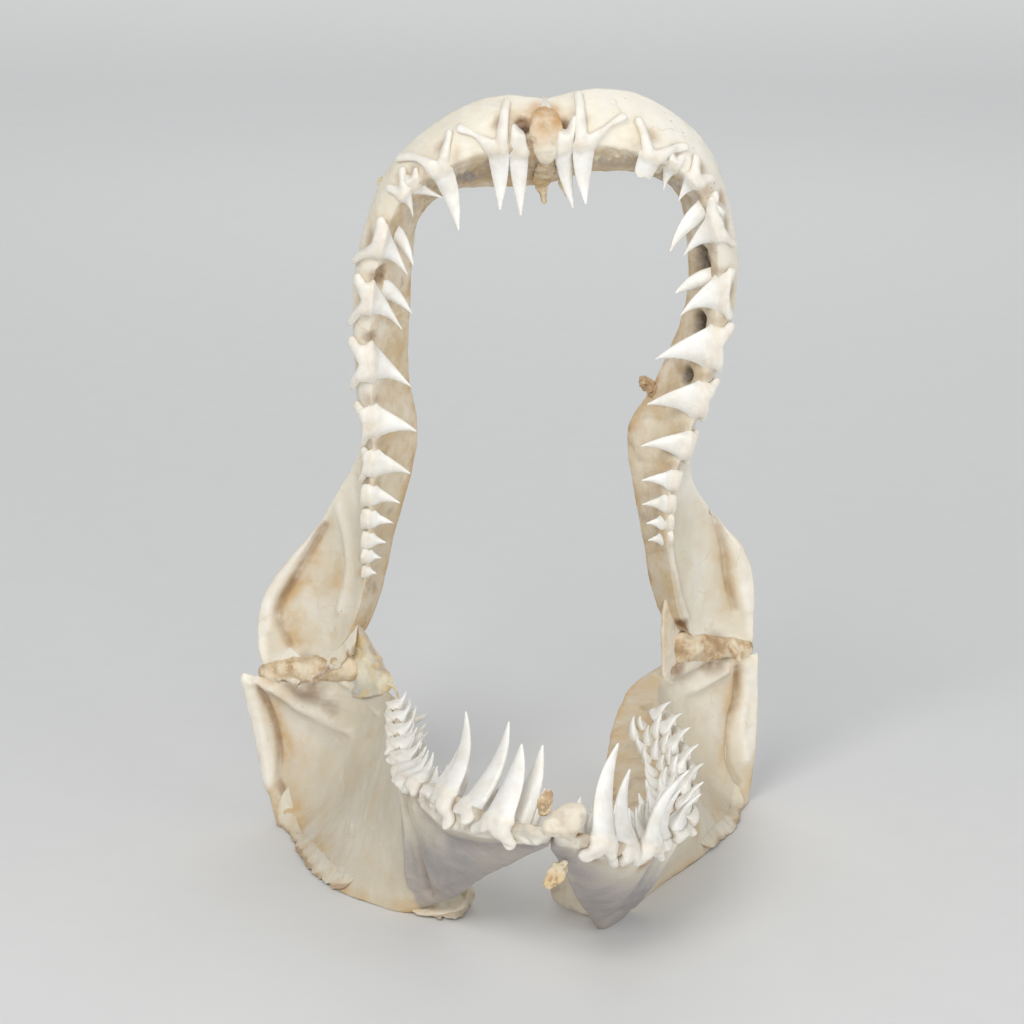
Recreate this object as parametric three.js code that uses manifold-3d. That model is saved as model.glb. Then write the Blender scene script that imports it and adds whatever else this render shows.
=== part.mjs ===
// Dried jaws of a shortfin mako shark, propped wide open and standing on the lower jaw.
// Millimetres. +Z is up, -Y is the front of the mouth and +X is the animal's left.
// Each half of each jaw is lofted through stations that run from the symphysis to the jaw joint.
import * as THREE from "three";
import { mergeVertices } from "three/addons/utils/BufferGeometryUtils.js";
import Module from "manifold-3d";

const wasm = await Module();
wasm.setup();

const SEAM = 0.4; // gap between two pieces that touch
const SPAN_STEPS = 2; // lofted steps from one station to the next
const BELOW_FLOOR = [400, 400, 60]; // the block that trims everything below the floor
const CENTRE_X = -3.2; // middle of the jaws' width, in the station coordinates
const CENTRE_Y = -86; // middle of the jaws' depth, in the station coordinates

const CARTILAGE = { color: 0xe9dcc0, roughness: 0.55, metalness: 0 };
const PALE_CARTILAGE = { color: 0xf2ebdc, roughness: 0.45, metalness: 0 };
const DRIED_TISSUE = { color: 0xb98a55, roughness: 0.7, metalness: 0 };

// A station is [ridge, outer, inner, wall, dish]: the tooth ridge, the outer margin and the inner
// (tongue side) margin as points, the wall's thickness, and how far the outer face swells (+) or
// is hollowed (-) between ridge and margin.
const UPPER_RIGHT = [
  [[6.6, -54, 255], [6.6, -43, 271], [6.6, -24, 237], 10, 2],
  [[-11, -52, 255], [-9, -42, 272], [-6, -22, 236], 10, 2.5],
  [[-28, -47, 248], [-26, -37, 265], [-22, -19, 235], 9, 2.5],
  [[-41, -41, 238], [-45, -30, 247], [-32, -15, 227], 9, 2],
  [[-49, -35, 217], [-56, -25, 216], [-35, -10, 211], 8, 1.5],
  [[-52, -29, 193], [-58, -20, 191], [-36, -6, 189], 8, 1.5],
  [[-52, -25, 169], [-57, -16, 167], [-36, -2, 165], 7, 1.5],
  [[-51, -22, 148], [-55, -11, 145], [-33, 0, 146], 7, 0],
  [[-52, -19, 131], [-62, 0, 126], [-37, 0, 124], 5, -1.5],
  [[-53, -17, 113], [-73, 5, 106], [-42, 0, 106], 4.5, -4],
  [[-55, -15, 92], [-89, 8, 84], [-47, -2, 87], 4.5, -6],
  [[-60, -9, 74], [-92, 7, 67], [-53, -3, 73], 5, -5],
  [[-67, -3, 62], [-90, 7, 57], [-60, 2, 65], 5, -2],
];
const UPPER_LEFT = [
  [[7.0, -54, 255], [7.0, -43, 271], [7.0, -24, 237], 10, 2],
  [[22, -52, 256], [23, -42, 274], [24, -22, 241], 10, 2.5],
  [[41, -47, 251], [43, -37, 270], [42, -19, 240], 9, 2.5],
  [[58, -41, 241], [66, -30, 250], [55, -15, 233], 9, 2],
  [[67, -35, 220], [76, -25, 219], [60, -10, 215], 8, 1.5],
  [[69, -29, 197], [77, -20, 195], [60, -6, 191], 8, 1.5],
  [[66, -25, 171], [71, -16, 169], [50, -2, 163], 7, 1.5],
  [[61, -22, 148], [64, -11, 145], [41, 0, 146], 7, 0],
  [[55, -19, 128], [67, 0, 123], [43, 0, 124], 5, -1.5],
  [[54, -17, 111], [78, 5, 107], [47, 0, 103], 4.5, -4],
  [[57, -15, 90], [89, 8, 88], [50, -2, 86], 4.5, -6],
  [[61, -10, 75], [90, 7, 71], [54, -3, 75], 5, -5],
  [[67, -3, 65.5], [90, 6, 61], [60, 2, 68.5], 5, -2],
];
const LOWER_RIGHT = [
  [[-6, -181, 60], [-6, -166, 48], [-6, -158, 53], 6, 1],
  [[-16, -177, 61], [-13, -152, 40], [-11, -152, 46], 7, 3],
  [[-27, -165, 61], [-23, -134, 27], [-18, -136, 42], 7, 4],
  [[-37, -142, 61], [-32, -116, 13], [-25, -114, 40], 7, 5],
  [[-45, -114, 55], [-41, -100, 4], [-32, -94, 36], 6, 3],
  [[-47, -92, 52], [-54, -89, -1], [-36, -76, 35], 5, -1],
  [[-47, -70, 53], [-69, -72, -1], [-38, -58, 36], 4.5, -3],
  [[-46, -48, 55], [-80, -38, -1], [-38, -40, 41], 4.5, -5],
  [[-46, -30, 56], [-86, -6, -1], [-39, -25, 47], 4.5, -6],
  [[-51, -14, 56], [-91, 5, 18], [-44, -10, 50], 4.5, -5],
  [[-64, -5, 56], [-95, 7, 37], [-57, 1, 53], 5, -3],
  [[-80, 1, 52.5], [-98, 5, 56], [-76, 6, 49], 5, -1],
];
const LOWER_LEFT = [
  [[-5, -181, 60], [-5, -166, 47], [-5, -158, 52], 6, 1],
  [[6, -177, 56], [2, -150, 33], [4, -148, 43], 7, 3],
  [[20, -163, 47], [10, -130, 14], [12, -128, 37], 7, 4],
  [[34, -142, 41], [20, -112, -1], [19, -104, 33], 7, 4],
  [[46, -114, 39], [40, -80, -1], [24, -84, 33], 6, 2],
  [[51, -92, 41], [57, -58, -1], [24, -68, 36], 5, -1],
  [[52, -70, 44], [70, -38, -1], [27, -54, 39], 4.5, -3],
  [[51, -48, 48], [81, -20, -1], [31, -40, 45], 4.5, -5],
  [[50, -30, 52], [88, 1, -1], [36, -28, 51], 4.5, -6],
  [[54, -14, 55], [91, 6, 18], [42, -16, 54], 4.5, -5],
  [[67, -5, 60], [92, 7, 37], [60, 1, 57], 5, -3],
  [[80, 1, 56.5], [92, 6, 57], [76, 6, 54], 5, -1],
];

// A tooth is [along, height, width, sweep, lean, set]: distance along the ridge from the symphysis,
// crown height, crown width, degrees of sweep towards the joint, degrees that it leans into the
// mouth from the way the jaw's opening faces, and how far down the tongue side it stands.
const UPPER_RIGHT_TEETH = [
  [17, 21, 7, 8, 84, 2],
  [10, 22, 6, -4, 80, 3],
  [38, 21, 8, 14, 72, 2],
  [49, 10, 5, -30, 78, 4],
  [54, 9, 6, 35, 80, 0],
  [74, 15, 13, 40, 88, 0],
  [69, 13, 6, 40, 60, 8],
  [95, 16, 14, 45, 88, 0],
  [91, 14, 7, 38, 84, 7],
  [119, 17, 16, 38, 95, 2],
  [141, 15, 14, 12, 68, 2],
  [157, 13, 11, 8, 70, 2],
  [169, 10, 8, 12, 75, 2],
  [178, 8, 7, 6, 75, 2],
  [186, 6, 6, 5, 78, 2],
  [192, 4.5, 5, 5, 78, 2],
  [198, 3.5, 4, 5, 78, 2],
];
const UPPER_LEFT_TEETH = [
  [12, 20, 8, 2, 76, 1],
  [5, 21, 6, 5, 84, 2],
  [37, 8, 9, 0, 78, 0],
  [46, 9, 6, 18, 86, 3],
  [56, 9, 8, 20, 92, 0],
  [76, 15, 13, 32, 92, 0],
  [68, 19, 7, 22, 62, 3],
  [101, 15, 14, 25, 68, 2],
  [95, 14, 7, 12, 68, 7],
  [121, 20, 17, 16, 76, 2],
  [141, 18, 14, 14, 80, 2],
  [159, 16, 11, 14, 80, 1],
  [173, 11, 8, 12, 86, 1],
  [182, 9, 7, 2, 80, 2],
  [189, 6.5, 6, -3, 80, 3],
  [195, 5.5, 5, -4, 80, 4],
];
const LOWER_RIGHT_TEETH = [
  [19, 25, 8, -10, 12, 0],
  [13, 27, 7, -6, 20, 7],
  [8, 14, 5, -12, 16, 9],
  [50, 27, 9, 18, 24, 0],
  [36, 30, 7, 4, 26, 7],
  [62, 16, 7, -5, 32, 5],
  [76, 10, 8, 2, 32, 0],
  [88, 10, 7, 4, 36, 1],
  [101, 10, 7, 4, 45, 2],
  [114, 9, 6, 0, 42, 3],
  [127, 8.5, 6, -5, 38, 4],
  [139, 8, 5, -8, 36, 4],
  [150, 7, 5, -8, 34, 3],
  [160, 6, 4, -4, 30, 1],
];
const LOWER_LEFT_TEETH = [
  [20, 30, 9, -8, 4, 0],
  [9, 13, 6, 6, 30, 6],
  [46, 24, 8, 8, 10, 8],
  [52, 28, 9, 34, -14, 0],
  [64, 18, 7, 34, -16, 2],
  [80, 12, 7, 6, -20, 0],
  [96, 11, 7, -4, -18, 1],
  [112, 10, 7, -8, -18, 2],
  [128, 10, 6, -10, -16, 3],
  [142, 9, 6, -10, -16, 3],
  [154, 9, 5, -10, -16, 4],
  [164, 8, 5, -12, -12, 4],
  [97, 11, 6, -8, 16, 20],
  [120, 9, 5, -10, 22, 18],
  [140, 8, 5, -10, 24, 14],
  [154, 7, 4, -10, 20, 11],
];
// Straps of tissue and cartilage: rows of [x, y, z, half width, half thickness] and the direction
// in which they are widest.
const UPPER_PAD = [[6.4, -50.5, 266, 3, 2], [6.2, -53, 258, 4.6, 3], [6.6, -51.5, 250, 3.6, 2.6]];
const LOWER_WEDGE = [
  [-9.5, -181, 59.5, 2.2, 2.4],
  [-4, -180, 61, 4, 4.6],
  [1, -178.5, 61.5, 5, 6],
  [4, -178, 60.5, 3.4, 4],
];
const JOINT_RIGHT = [
  [-92, 8.5, 55, 3.5, 3.4],
  [-79, 5.5, 56, 5, 4],
  [-67, 0, 59, 5, 3.8],
  [-57, -6, 64, 3.6, 3.2],
];
const JOINT_LEFT = [
  [90, 8.5, 58, 3.5, 3.2],
  [80, 6, 59, 5, 3.8],
  [68, 0.5, 62.5, 5, 3.6],
  [59, -5, 67.5, 3.6, 3.2],
];
const CORNER_RIGHT = [[-57, -8.5, 77, 1.5, 0.7], [-54, -14, 67, 6.5, 0.7], [-51.5, -20, 56.5, 15, 0.7]];
const CORNER_LEFT = [[57, -8, 79, 4, 0.8], [55.5, -10.5, 70, 5.5, 0.8], [54, -15, 59, 6, 0.8]];
const LIP_RIGHT = [
  [-45, -88, 1.2, 4, 1.6],
  [-36, -95, 1.6, 8, 2],
  [-27, -93, 3, 6.5, 2.4],
  [-23, -90, 5, 3.5, 2.4],
];
const LIP_LEFT = [[24, -108, 5, 5, 2.4], [13, -103, 7.5, 7, 2.8], [4, -92, 6.5, 5.5, 2.4]];
const STRAP_STEPS = 1; // lofted steps from one row to the next
const STRAP_SIDES = 6;
const LEVEL = new THREE.Vector3(0.6, 1, 0); // across the right lip, which lies on the floor
const UPRIGHT = new THREE.Vector3(0, 0.25, 1); // across the left lip, which stands on the floor
const SLANTING = new THREE.Vector3(0.58, -0.81, 0); // across the right corner's membrane
const ASIDE = new THREE.Vector3(1, 0, 0);
const BACKWARD = new THREE.Vector3(0, 1, 0);

const SMALL_TOOTH = 9.5; // crowns lower than this have no root that shows
const TALL_TOOTH = 14; // crowns at least this high bow enough to need more sections

// The way each jaw's opening faces, and a point in the middle of its arch.
const UPPER = [new THREE.Vector3(0, -0.97, -0.24), new THREE.Vector3(7, -30, 170)];
const LOWER = [new THREE.Vector3(0, 0, 1), new THREE.Vector3(3, -80, 50)];

const vec = (p) => new THREE.Vector3(...p);
const between = (a, b, f) => a.clone().lerp(b, f);
const stepped = (p, direction, distance) => p.clone().addScaledVector(direction, distance);
const square = (v, axis) => v.clone().addScaledVector(axis, -v.dot(axis)).normalize();

// The ridge, outer and inner margins of one jaw half as curves, with wall and dish along them.
function rails(stations) {
  const curve = (points) => new THREE.CatmullRomCurve3(points, false, "centripetal");
  const number = (k) => curve(stations.map((s, i) => new THREE.Vector3(s[k], 10 * i, 0)));
  return {
    ridge: curve(stations.map((s) => vec(s[0]))),
    outer: curve(stations.map((s) => vec(s[1]))),
    inner: curve(stations.map((s) => vec(s[2]))),
    wall: number(3),
    dish: number(4),
  };
}

// The directions and sizes of the jaw's cross-section at a place t from 0 to 1 along its stations.
function section(rail, t) {
  const ridge = rail.ridge.getPoint(t);
  const outer = rail.outer.getPoint(t);
  const inner = rail.inner.getPoint(t);
  const up = outer.clone().sub(ridge).normalize();
  const back = inner.clone().sub(ridge).normalize();
  return {
    ridge,
    outer,
    inner,
    wall: rail.wall.getPoint(t).x,
    dish: rail.dish.getPoint(t).x,
    up,
    back,
    lingual: square(back, up), // square to the outer face, towards the tongue
    dorsal: square(up, back), // square to the tongue side, into the cartilage
  };
}

// A point at a share f of the way from ridge to outer margin, at a depth under the outer face.
function facePoint(s, f, depth) {
  return stepped(between(s.ridge, s.outer, f), s.lingual, depth - s.dish * 4 * f * (1 - f));
}

// The cross-section's outline: rounded outer margin, outer face, ridge, tongue side, then back
// through the hollow behind.
function outline(s) {
  const { ridge, outer, inner, wall, up, back, dorsal } = s;
  const face = (f, depth) => facePoint(s, f, depth);
  const side = (f, depth) => stepped(between(ridge, inner, f), dorsal, depth);
  const reach = Math.min(wall, ridge.distanceTo(outer) * 0.45, ridge.distanceTo(inner) * 0.45);
  const crotch = stepped(stepped(ridge, up, reach), back, reach);
  return [
    stepped(face(1, wall * 0.5), up, wall * 0.25),
    face(1, 0),
    face(0.72, 0),
    face(0.38, 0),
    ridge,
    side(0.5, -0.6),
    side(1, 0),
    side(1, wall * 0.7),
    crotch,
    between(crotch, face(0.8, wall * 0.9), 0.5),
    face(0.8, wall * 0.9),
    face(1, wall),
  ];
}

// A closed solid through a row of rings that all have the same number of points.
function loft(rings) {
  const n = rings[0].length;
  const points = rings.flat();
  const faces = [];
  for (let r = 0; r + 1 < rings.length; r++) {
    for (let i = 0; i < n; i++) {
      const a = r * n + i;
      const b = r * n + ((i + 1) % n);
      faces.push(a, b, b + n, a, b + n, a + n);
    }
  }
  const last = (rings.length - 1) * n;
  for (const [i, j, k] of capFaces(rings[0])) faces.push(k, j, i);
  for (const [i, j, k] of capFaces(rings[rings.length - 1])) {
    faces.push(last + i, last + j, last + k);
  }
  return closed(points, faces);
}

// Triangles that fill a ring, found in the plane that the ring lies nearest to.
function capFaces(ring) {
  const centre = new THREE.Vector3();
  for (const p of ring) centre.addScaledVector(p, 1 / ring.length);
  const normal = new THREE.Vector3();
  ring.forEach((p, i) => {
    const a = p.clone().sub(centre);
    const b = ring[(i + 1) % ring.length].clone().sub(centre);
    normal.add(a.cross(b));
  });
  normal.normalize();
  const across = square(ring[0].clone().sub(centre), normal);
  const along = normal.clone().cross(across);
  const flat = ring.map((p) => {
    const q = p.clone().sub(centre);
    return new THREE.Vector2(q.dot(across), q.dot(along));
  });
  return THREE.ShapeUtils.triangulateShape(flat, []);
}

// A manifold-3d solid from points and faces, turned so that its faces point outwards.
function closed(points, faces) {
  const volume = (order) => {
    let sum = 0;
    for (let i = 0; i < order.length; i += 3) {
      const [a, b, c] = [points[order[i]], points[order[i + 1]], points[order[i + 2]]];
      sum += a.dot(b.clone().cross(c));
    }
    return sum;
  };
  const outward = volume(faces) > 0 ? faces : [...faces].reverse();
  const vertProperties = new Float32Array(points.flatMap((p) => [p.x, p.y, p.z]));
  const triVerts = new Uint32Array(outward);
  return new wasm.Manifold(new wasm.Mesh({ numProp: 3, vertProperties, triVerts }));
}

// The bare cartilage of one jaw half.
function cartilage(rail, stations) {
  const steps = (stations.length - 1) * SPAN_STEPS;
  const rings = [];
  for (let i = 0; i <= steps; i++) rings.push(outline(section(rail, i / steps)));
  return loft(rings);
}

// A place measured from an origin along three axes.
function framed(origin, right, front, rise) {
  return (x, y, z) => {
    const p = origin.clone().addScaledVector(right, x);
    return p.addScaledVector(front, y).addScaledVector(rise, z);
  };
}

// A crown: lens-shaped sections that taper to the tip and bow towards the tongue on the way.
function crown(place, height, width) {
  const thick = width * 0.6;
  const levels = height < TALL_TOOTH ? [-0.15, 0.5, 0.98] : [-0.15, 0.25, 0.62, 0.98];
  return loft(
    levels.map((f) => {
      const left = 1.02 - Math.max(f, 0);
      const w = width * 0.5 * Math.pow(left, 0.85);
      const t = thick * 0.5 * Math.pow(left, 0.9);
      const bow = -height * 0.1 * Math.sin(Math.PI * Math.max(f, 0) * 0.9);
      const z = f * height;
      return [place(w, bow, z), place(0, bow + t, z), place(-w, bow, z), place(0, bow - t, z)];
    }),
  );
}

// A forked root: a bar that arches over the crown's foot and ends in two lobes, laid along the
// outer face on both sides of the tooth's place.
function root(rail, along, height, width) {
  const spread = Math.max(width * 0.58, height * 0.42);
  const drop = height * 0.46;
  const bar = Math.min(1.7, width * 0.2);
  return loft(
    [-1, -0.5, 0.5, 1].map((f) => {
      const s = section(rail, placeAlong(rail.ridge, Math.max(along + f * spread, 1)));
      const size = bar * (1.1 - 0.35 * f * f);
      const share = (0.4 + drop * f * f) / s.ridge.distanceTo(s.outer);
      const centre = stepped(facePoint(s, share, 0), s.lingual, -size * 0.5);
      return [[-size, 0], [size, size * 1.2], [size, -size * 1.2]].map(([deep, high]) =>
        stepped(stepped(centre, s.lingual, deep), s.up, high),
      );
    }),
  );
}

// One tooth of a jaw half, set on its ridge. facing is the way the jaw's opening faces, and
// middle is a point inside the mouth.
function tooth(rail, facing, middle, [along, height, width, sweep, lean, set]) {
  const t = placeAlong(rail.ridge, along);
  const s = section(rail, t);
  const tangent = rail.ridge.getTangent(t);
  const open = square(facing, tangent);
  const inward = square(middle.clone().sub(s.ridge), tangent);
  inward.addScaledVector(open, -inward.dot(open)).normalize();
  const [swept, leant] = [sweep, lean].map(THREE.MathUtils.degToRad);
  const rise = new THREE.Vector3()
    .addScaledVector(open, Math.cos(leant) * Math.cos(swept))
    .addScaledVector(inward, Math.sin(leant) * Math.cos(swept))
    .addScaledVector(tangent, Math.sin(swept));
  const right = square(tangent, rise);
  const front = rise.clone().cross(right);
  if (front.dot(s.lingual) > 0) front.negate();
  const foot = stepped(s.ridge, s.back, set);
  const solid = crown(framed(foot, right, front, rise), height, width);
  if (height < SMALL_TOOTH) return solid;
  return solid.add(root(rail, along, height, width));
}

// A strap of tissue: flattened six-sided sections along a row of [x, y, z, half width, half
// thickness], as wide as it can be in the direction across. grow swells it on every side.
function strap(places, across, grow = 0) {
  const path = new THREE.CatmullRomCurve3(places.map(([x, y, z]) => vec([x, y, z])));
  const size = new THREE.CatmullRomCurve3(places.map(([, , , w, h], i) => vec([w, h, 10 * i])));
  const steps = (places.length - 1) * STRAP_STEPS;
  const rings = [];
  for (let i = 0; i <= steps; i++) {
    const t = i / steps;
    const { x: w, y: h } = size.getPoint(t);
    const tangent = path.getTangent(t);
    const end = i === 0 ? -grow : i === steps ? grow : 0;
    const side = square(across, tangent);
    const place = framed(path.getPoint(t), side, tangent, side.clone().cross(tangent));
    const ring = [];
    for (let k = 0; k < STRAP_SIDES; k++) {
      const angle = (2 * Math.PI * k) / STRAP_SIDES;
      ring.push(place((w + grow) * Math.cos(angle), end, (h + grow) * Math.sin(angle)));
    }
    rings.push(ring);
  }
  return loft(rings);
}

// The curve parameter at a distance along a curve from its start.
function placeAlong(curve, distance) {
  const fraction = Math.min(distance / curve.getLength(), 1);
  return curve.getUtoTmapping(fraction);
}

// Everything below the floor, as one block.
function underground() {
  const [wide, deep, high] = BELOW_FLOOR;
  return solidOf(new THREE.BoxGeometry(wide, deep, high).translate(0, CENTRE_Y, -high / 2));
}

// A manifold-3d solid from a three.js geometry.
function solidOf(geometry) {
  const bare = geometry.clone();
  bare.deleteAttribute("normal");
  bare.deleteAttribute("uv");
  const merged = mergeVertices(bare);
  const vertProperties = new Float32Array(merged.attributes.position.array);
  const triVerts = new Uint32Array(merged.index.array);
  return new wasm.Manifold(new wasm.Mesh({ numProp: 3, vertProperties, triVerts }));
}

// One jaw half with its teeth, trimmed flat where it meets the floor.
function jawHalf(stations, teeth, facing, middle, lip) {
  const rail = rails(stations);
  let solid = cartilage(rail, stations);
  if (lip) solid = solid.add(lip);
  for (const entry of teeth) solid = solid.add(tooth(rail, facing, middle, entry));
  return solid.subtract(underground());
}

// A named mesh from a manifold-3d solid.
function meshOf(name, solid, look) {
  const { vertProperties, triVerts, numProp } = solid.getMesh();
  const positions = new Float32Array((vertProperties.length / numProp) * 3);
  for (let i = 0; i < positions.length / 3; i++) {
    positions.set(vertProperties.subarray(i * numProp, i * numProp + 3), i * 3);
  }
  const geometry = new THREE.BufferGeometry();
  geometry.setAttribute("position", new THREE.BufferAttribute(positions, 3));
  geometry.setIndex(new THREE.BufferAttribute(triVerts, 1));
  geometry.computeVertexNormals();
  const mesh = new THREE.Mesh(geometry, new THREE.MeshStandardMaterial(look));
  mesh.name = name;
  return mesh;
}

// The softer pieces, each as a function of how much it is swelled on every side.
const pad = (grow) => strap(UPPER_PAD, ASIDE, grow);
const wedge = (grow) => strap(LOWER_WEDGE, BACKWARD, grow);
const jointRight = (grow) => strap(JOINT_RIGHT, BACKWARD, grow);
const jointLeft = (grow) => strap(JOINT_LEFT, BACKWARD, grow);
const cornerRight = (grow) => strap(CORNER_RIGHT, SLANTING, grow);
const cornerLeft = (grow) => strap(CORNER_LEFT, ASIDE, grow);

// Cuts seats for softer pieces into a solid, with a seam round each of them.
const seated = (solid, ...pieces) => pieces.reduce((left, piece) => left.subtract(piece(SEAM)), solid);

const upperRight = jawHalf(UPPER_RIGHT, UPPER_RIGHT_TEETH, ...UPPER);
const upperLeft = jawHalf(UPPER_LEFT, UPPER_LEFT_TEETH, ...UPPER);
const lowerRight = jawHalf(LOWER_RIGHT, LOWER_RIGHT_TEETH, ...LOWER, strap(LIP_RIGHT, LEVEL));
const lowerLeft = jawHalf(LOWER_LEFT, LOWER_LEFT_TEETH, ...LOWER, strap(LIP_LEFT, UPRIGHT));

const jaws = new THREE.Group();
jaws.position.set(-CENTRE_X, -CENTRE_Y, 0);
jaws.add(
  meshOf("upper_jaw_right", seated(upperRight, pad, jointRight, cornerRight), CARTILAGE),
  meshOf("upper_jaw_left", seated(upperLeft, pad, jointLeft, cornerLeft), CARTILAGE),
  meshOf("lower_jaw_right", seated(lowerRight, wedge, jointRight, cornerRight), CARTILAGE),
  meshOf("lower_jaw_left", seated(lowerLeft, wedge, jointLeft, cornerLeft), CARTILAGE),
  meshOf("upper_symphysis", pad(0), DRIED_TISSUE),
  meshOf("lower_symphysis", wedge(0), PALE_CARTILAGE),
  meshOf("jaw_joint_right", jointRight(0), DRIED_TISSUE),
  meshOf("jaw_joint_left", jointLeft(0), DRIED_TISSUE),
  meshOf("corner_membrane_right", seated(cornerRight(0), jointRight), DRIED_TISSUE),
  meshOf("corner_membrane_left", seated(cornerLeft(0), jointLeft), DRIED_TISSUE),
);

const specimen = new THREE.Group();
specimen.add(jaws);
export default specimen;
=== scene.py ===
"""Looks of a shortfin mako shark's dried jaws, standing open on the lower jaw.

Every size is in millimetres in the jaws' own station frame and is turned into metres in the
row frame where a mesh is made.
"""
import logging
import math
from dataclasses import dataclass, field
from enum import Enum

import bmesh
import bpy
import numpy as np
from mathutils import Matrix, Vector, noise


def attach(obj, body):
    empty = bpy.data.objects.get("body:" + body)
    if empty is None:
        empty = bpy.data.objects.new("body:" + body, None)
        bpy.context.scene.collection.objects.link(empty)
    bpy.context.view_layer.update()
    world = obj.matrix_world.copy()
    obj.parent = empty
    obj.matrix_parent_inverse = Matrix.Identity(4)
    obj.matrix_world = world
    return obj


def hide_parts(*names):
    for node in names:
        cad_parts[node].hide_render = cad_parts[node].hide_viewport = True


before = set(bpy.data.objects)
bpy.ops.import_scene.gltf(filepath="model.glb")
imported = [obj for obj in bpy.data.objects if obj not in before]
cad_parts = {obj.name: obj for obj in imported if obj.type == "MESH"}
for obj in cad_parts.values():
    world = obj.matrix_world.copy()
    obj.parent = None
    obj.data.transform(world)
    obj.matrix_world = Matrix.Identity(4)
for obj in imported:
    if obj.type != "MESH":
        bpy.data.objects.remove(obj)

log = logging.getLogger("shark_jaws")

MM = 0.001  # metres in a millimetre
YOUNG_FROM = 5.0  # how far behind the ridge a tooth without a seen root stands
SHIFT = np.array([3.2, 86.0, 0.0])  # from the station frame to the row frame, in millimetres
SEED_STEP = 17.31  # distance between the noise fields of two pieces
WIDEST = (-98.7, 92.1)  # limits of the jaw halves to the right and left, in the station frame
TINY = 1e-4  # shortest stretch that is divided by
SAME_SPOT = 1e-6  # metres within which two vertices are one
FACE_SHARES = (1.0, 0.97, 0.88, 0.75, 0.6, 0.45, 0.3, 0.17, 0.07)  # from the margin to the ridge
SIDE_SHARES = (0.08, 0.2, 0.4, 0.6, 0.8, 0.95)  # from the ridge to the inner margin

Array = np.ndarray
Spot = tuple[float, float, float]
Knot = tuple[float, float, float, float, float]  # a point, half width and half thickness there
Piece = bpy.types.Object
Material = bpy.types.Material
Socket = bpy.types.NodeSocket


class Slot(Enum):
    """The record's material slots."""

    CARTILAGE = "cartilage"
    PALE = "pale_cartilage"
    TISSUE = "tissue"


class Mark(Enum):
    """The painted marks that stains and folds leave on the cartilage."""

    TAN = "tan"
    PALE = "pale"
    # Greyness of torn tissue, and painted shade on faces that look down and in grooves.
    GREY = "grey"
    CREVICE = "crevice"
    # Painted shade inside pits.
    HOLE = "hole"
    RUST = "rust"


class Look(Enum):
    """The finishes that the dried straps and sheets choose from."""

    CARTILAGE = "cartilage"
    TISSUE = "tissue"
    MEMBRANE = "membrane"


class Opening(Enum):
    """The two jaws, by the way their opening faces and a point in the middle of their arch."""

    UPPER = ((0.0, -0.97, -0.24), (7.0, -30.0, 170.0))
    LOWER = ((0.0, 0.0, 1.0), (3.0, -80.0, 50.0))


def unit(v: Array) -> Array:
    """Vectors scaled to length one."""
    return v / np.maximum(np.linalg.norm(v, axis=-1, keepdims=True), 1e-9)


def square(v: Array, axis: Array) -> Array:
    """The part of each vector that is square to an axis, at length one."""
    return unit(v - axis * np.sum(v * axis, axis=-1, keepdims=True))


def smooth(x: Array, low: float, high: float) -> Array:
    """A smooth step from 0 at low to 1 at high."""
    t = np.clip((np.asarray(x, float) - low) / (high - low), 0.0, 1.0)
    return t * t * (3.0 - 2.0 * t)


def bump(x: Array, centre: float, width: float) -> Array:
    """A bell of height 1 round centre."""
    return np.exp(-(((np.asarray(x, float) - centre) / width) ** 2))


def fractal(points: Array, wavelength: float, seed: float, octaves: int = 3) -> Array:
    """Fractal noise, about -1 to 1, at points given in millimetres.

    Args:
        points: Positions, one row each.
        wavelength: Size of the largest lumps.
        seed: Offset of the noise field.
        octaves: Number of finer layers.

    Returns:
        One value for each point.
    """
    shift = Vector((seed, -seed, 0.5 * seed))
    return np.array(
        [noise.fractal(Vector(p) / wavelength + shift, 1.0, 2.0, octaves) for p in points]
    )


class Curve:
    """A centripetal Catmull-Rom curve through points, with its length along the way."""

    TABLE = 400  # places where the length is measured
    STEP = 1e-3  # half of the stretch that a direction is taken from

    def __init__(self, points: Array) -> None:
        """Measures the curve.

        Args:
            points: The points that it passes through.
        """
        p = np.asarray(points, float)
        self.points = np.vstack([2 * p[0] - p[1], p, 2 * p[-1] - p[-2]])
        self.spans = len(p) - 1
        places = np.linspace(0, 1, self.TABLE)
        steps = np.linalg.norm(np.diff(self.at(places), axis=0), axis=1)
        self.places = places
        self.lengths = np.concatenate([[0], np.cumsum(steps)])

    def at(self, t: Array) -> Array:
        """Points of the curve.

        Args:
            t: Places from 0 to 1, with the same share for each span.

        Returns:
            One point for each place.
        """
        place = np.clip(np.atleast_1d(t), 0, 1) * self.spans
        i = np.minimum(place.astype(int), self.spans - 1)
        w = (place - i)[:, None]
        a, b, c, d = (self.points[i + k] for k in range(4))
        steps = (b - a, c - b, d - c)
        g0, g1, g2 = (np.maximum(np.linalg.norm(v, axis=1, keepdims=True) ** 0.5, TINY) for v in steps)
        m1 = ((b - a) / g0 - (c - a) / (g0 + g1) + (c - b) / g1) * g1
        m2 = ((c - b) / g1 - (d - b) / (g1 + g2) + (d - c) / g2) * g1
        cubic = (2 * b - 2 * c + m1 + m2) * w**3 + (-3 * b + 3 * c - 2 * m1 - m2) * w**2
        return cubic + m1 * w + b

    def place(self, distance: Array) -> Array:
        """The places at distances along the curve."""
        return np.interp(distance, self.lengths, self.places)

    def distance(self, t: Array) -> Array:
        """The distances along the curve of places."""
        return np.interp(t, self.places, self.lengths)

    def tangent(self, t: Array) -> Array:
        """The curve's direction at places."""
        return unit(self.at(np.clip(t + self.STEP, 0, 1)) - self.at(np.clip(t - self.STEP, 0, 1)))


@dataclass(frozen=True)
class Station:
    """One cross-section of a jaw half."""

    ridge: Spot
    outer: Spot
    inner: Spot
    wall: float
    dish: float


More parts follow.
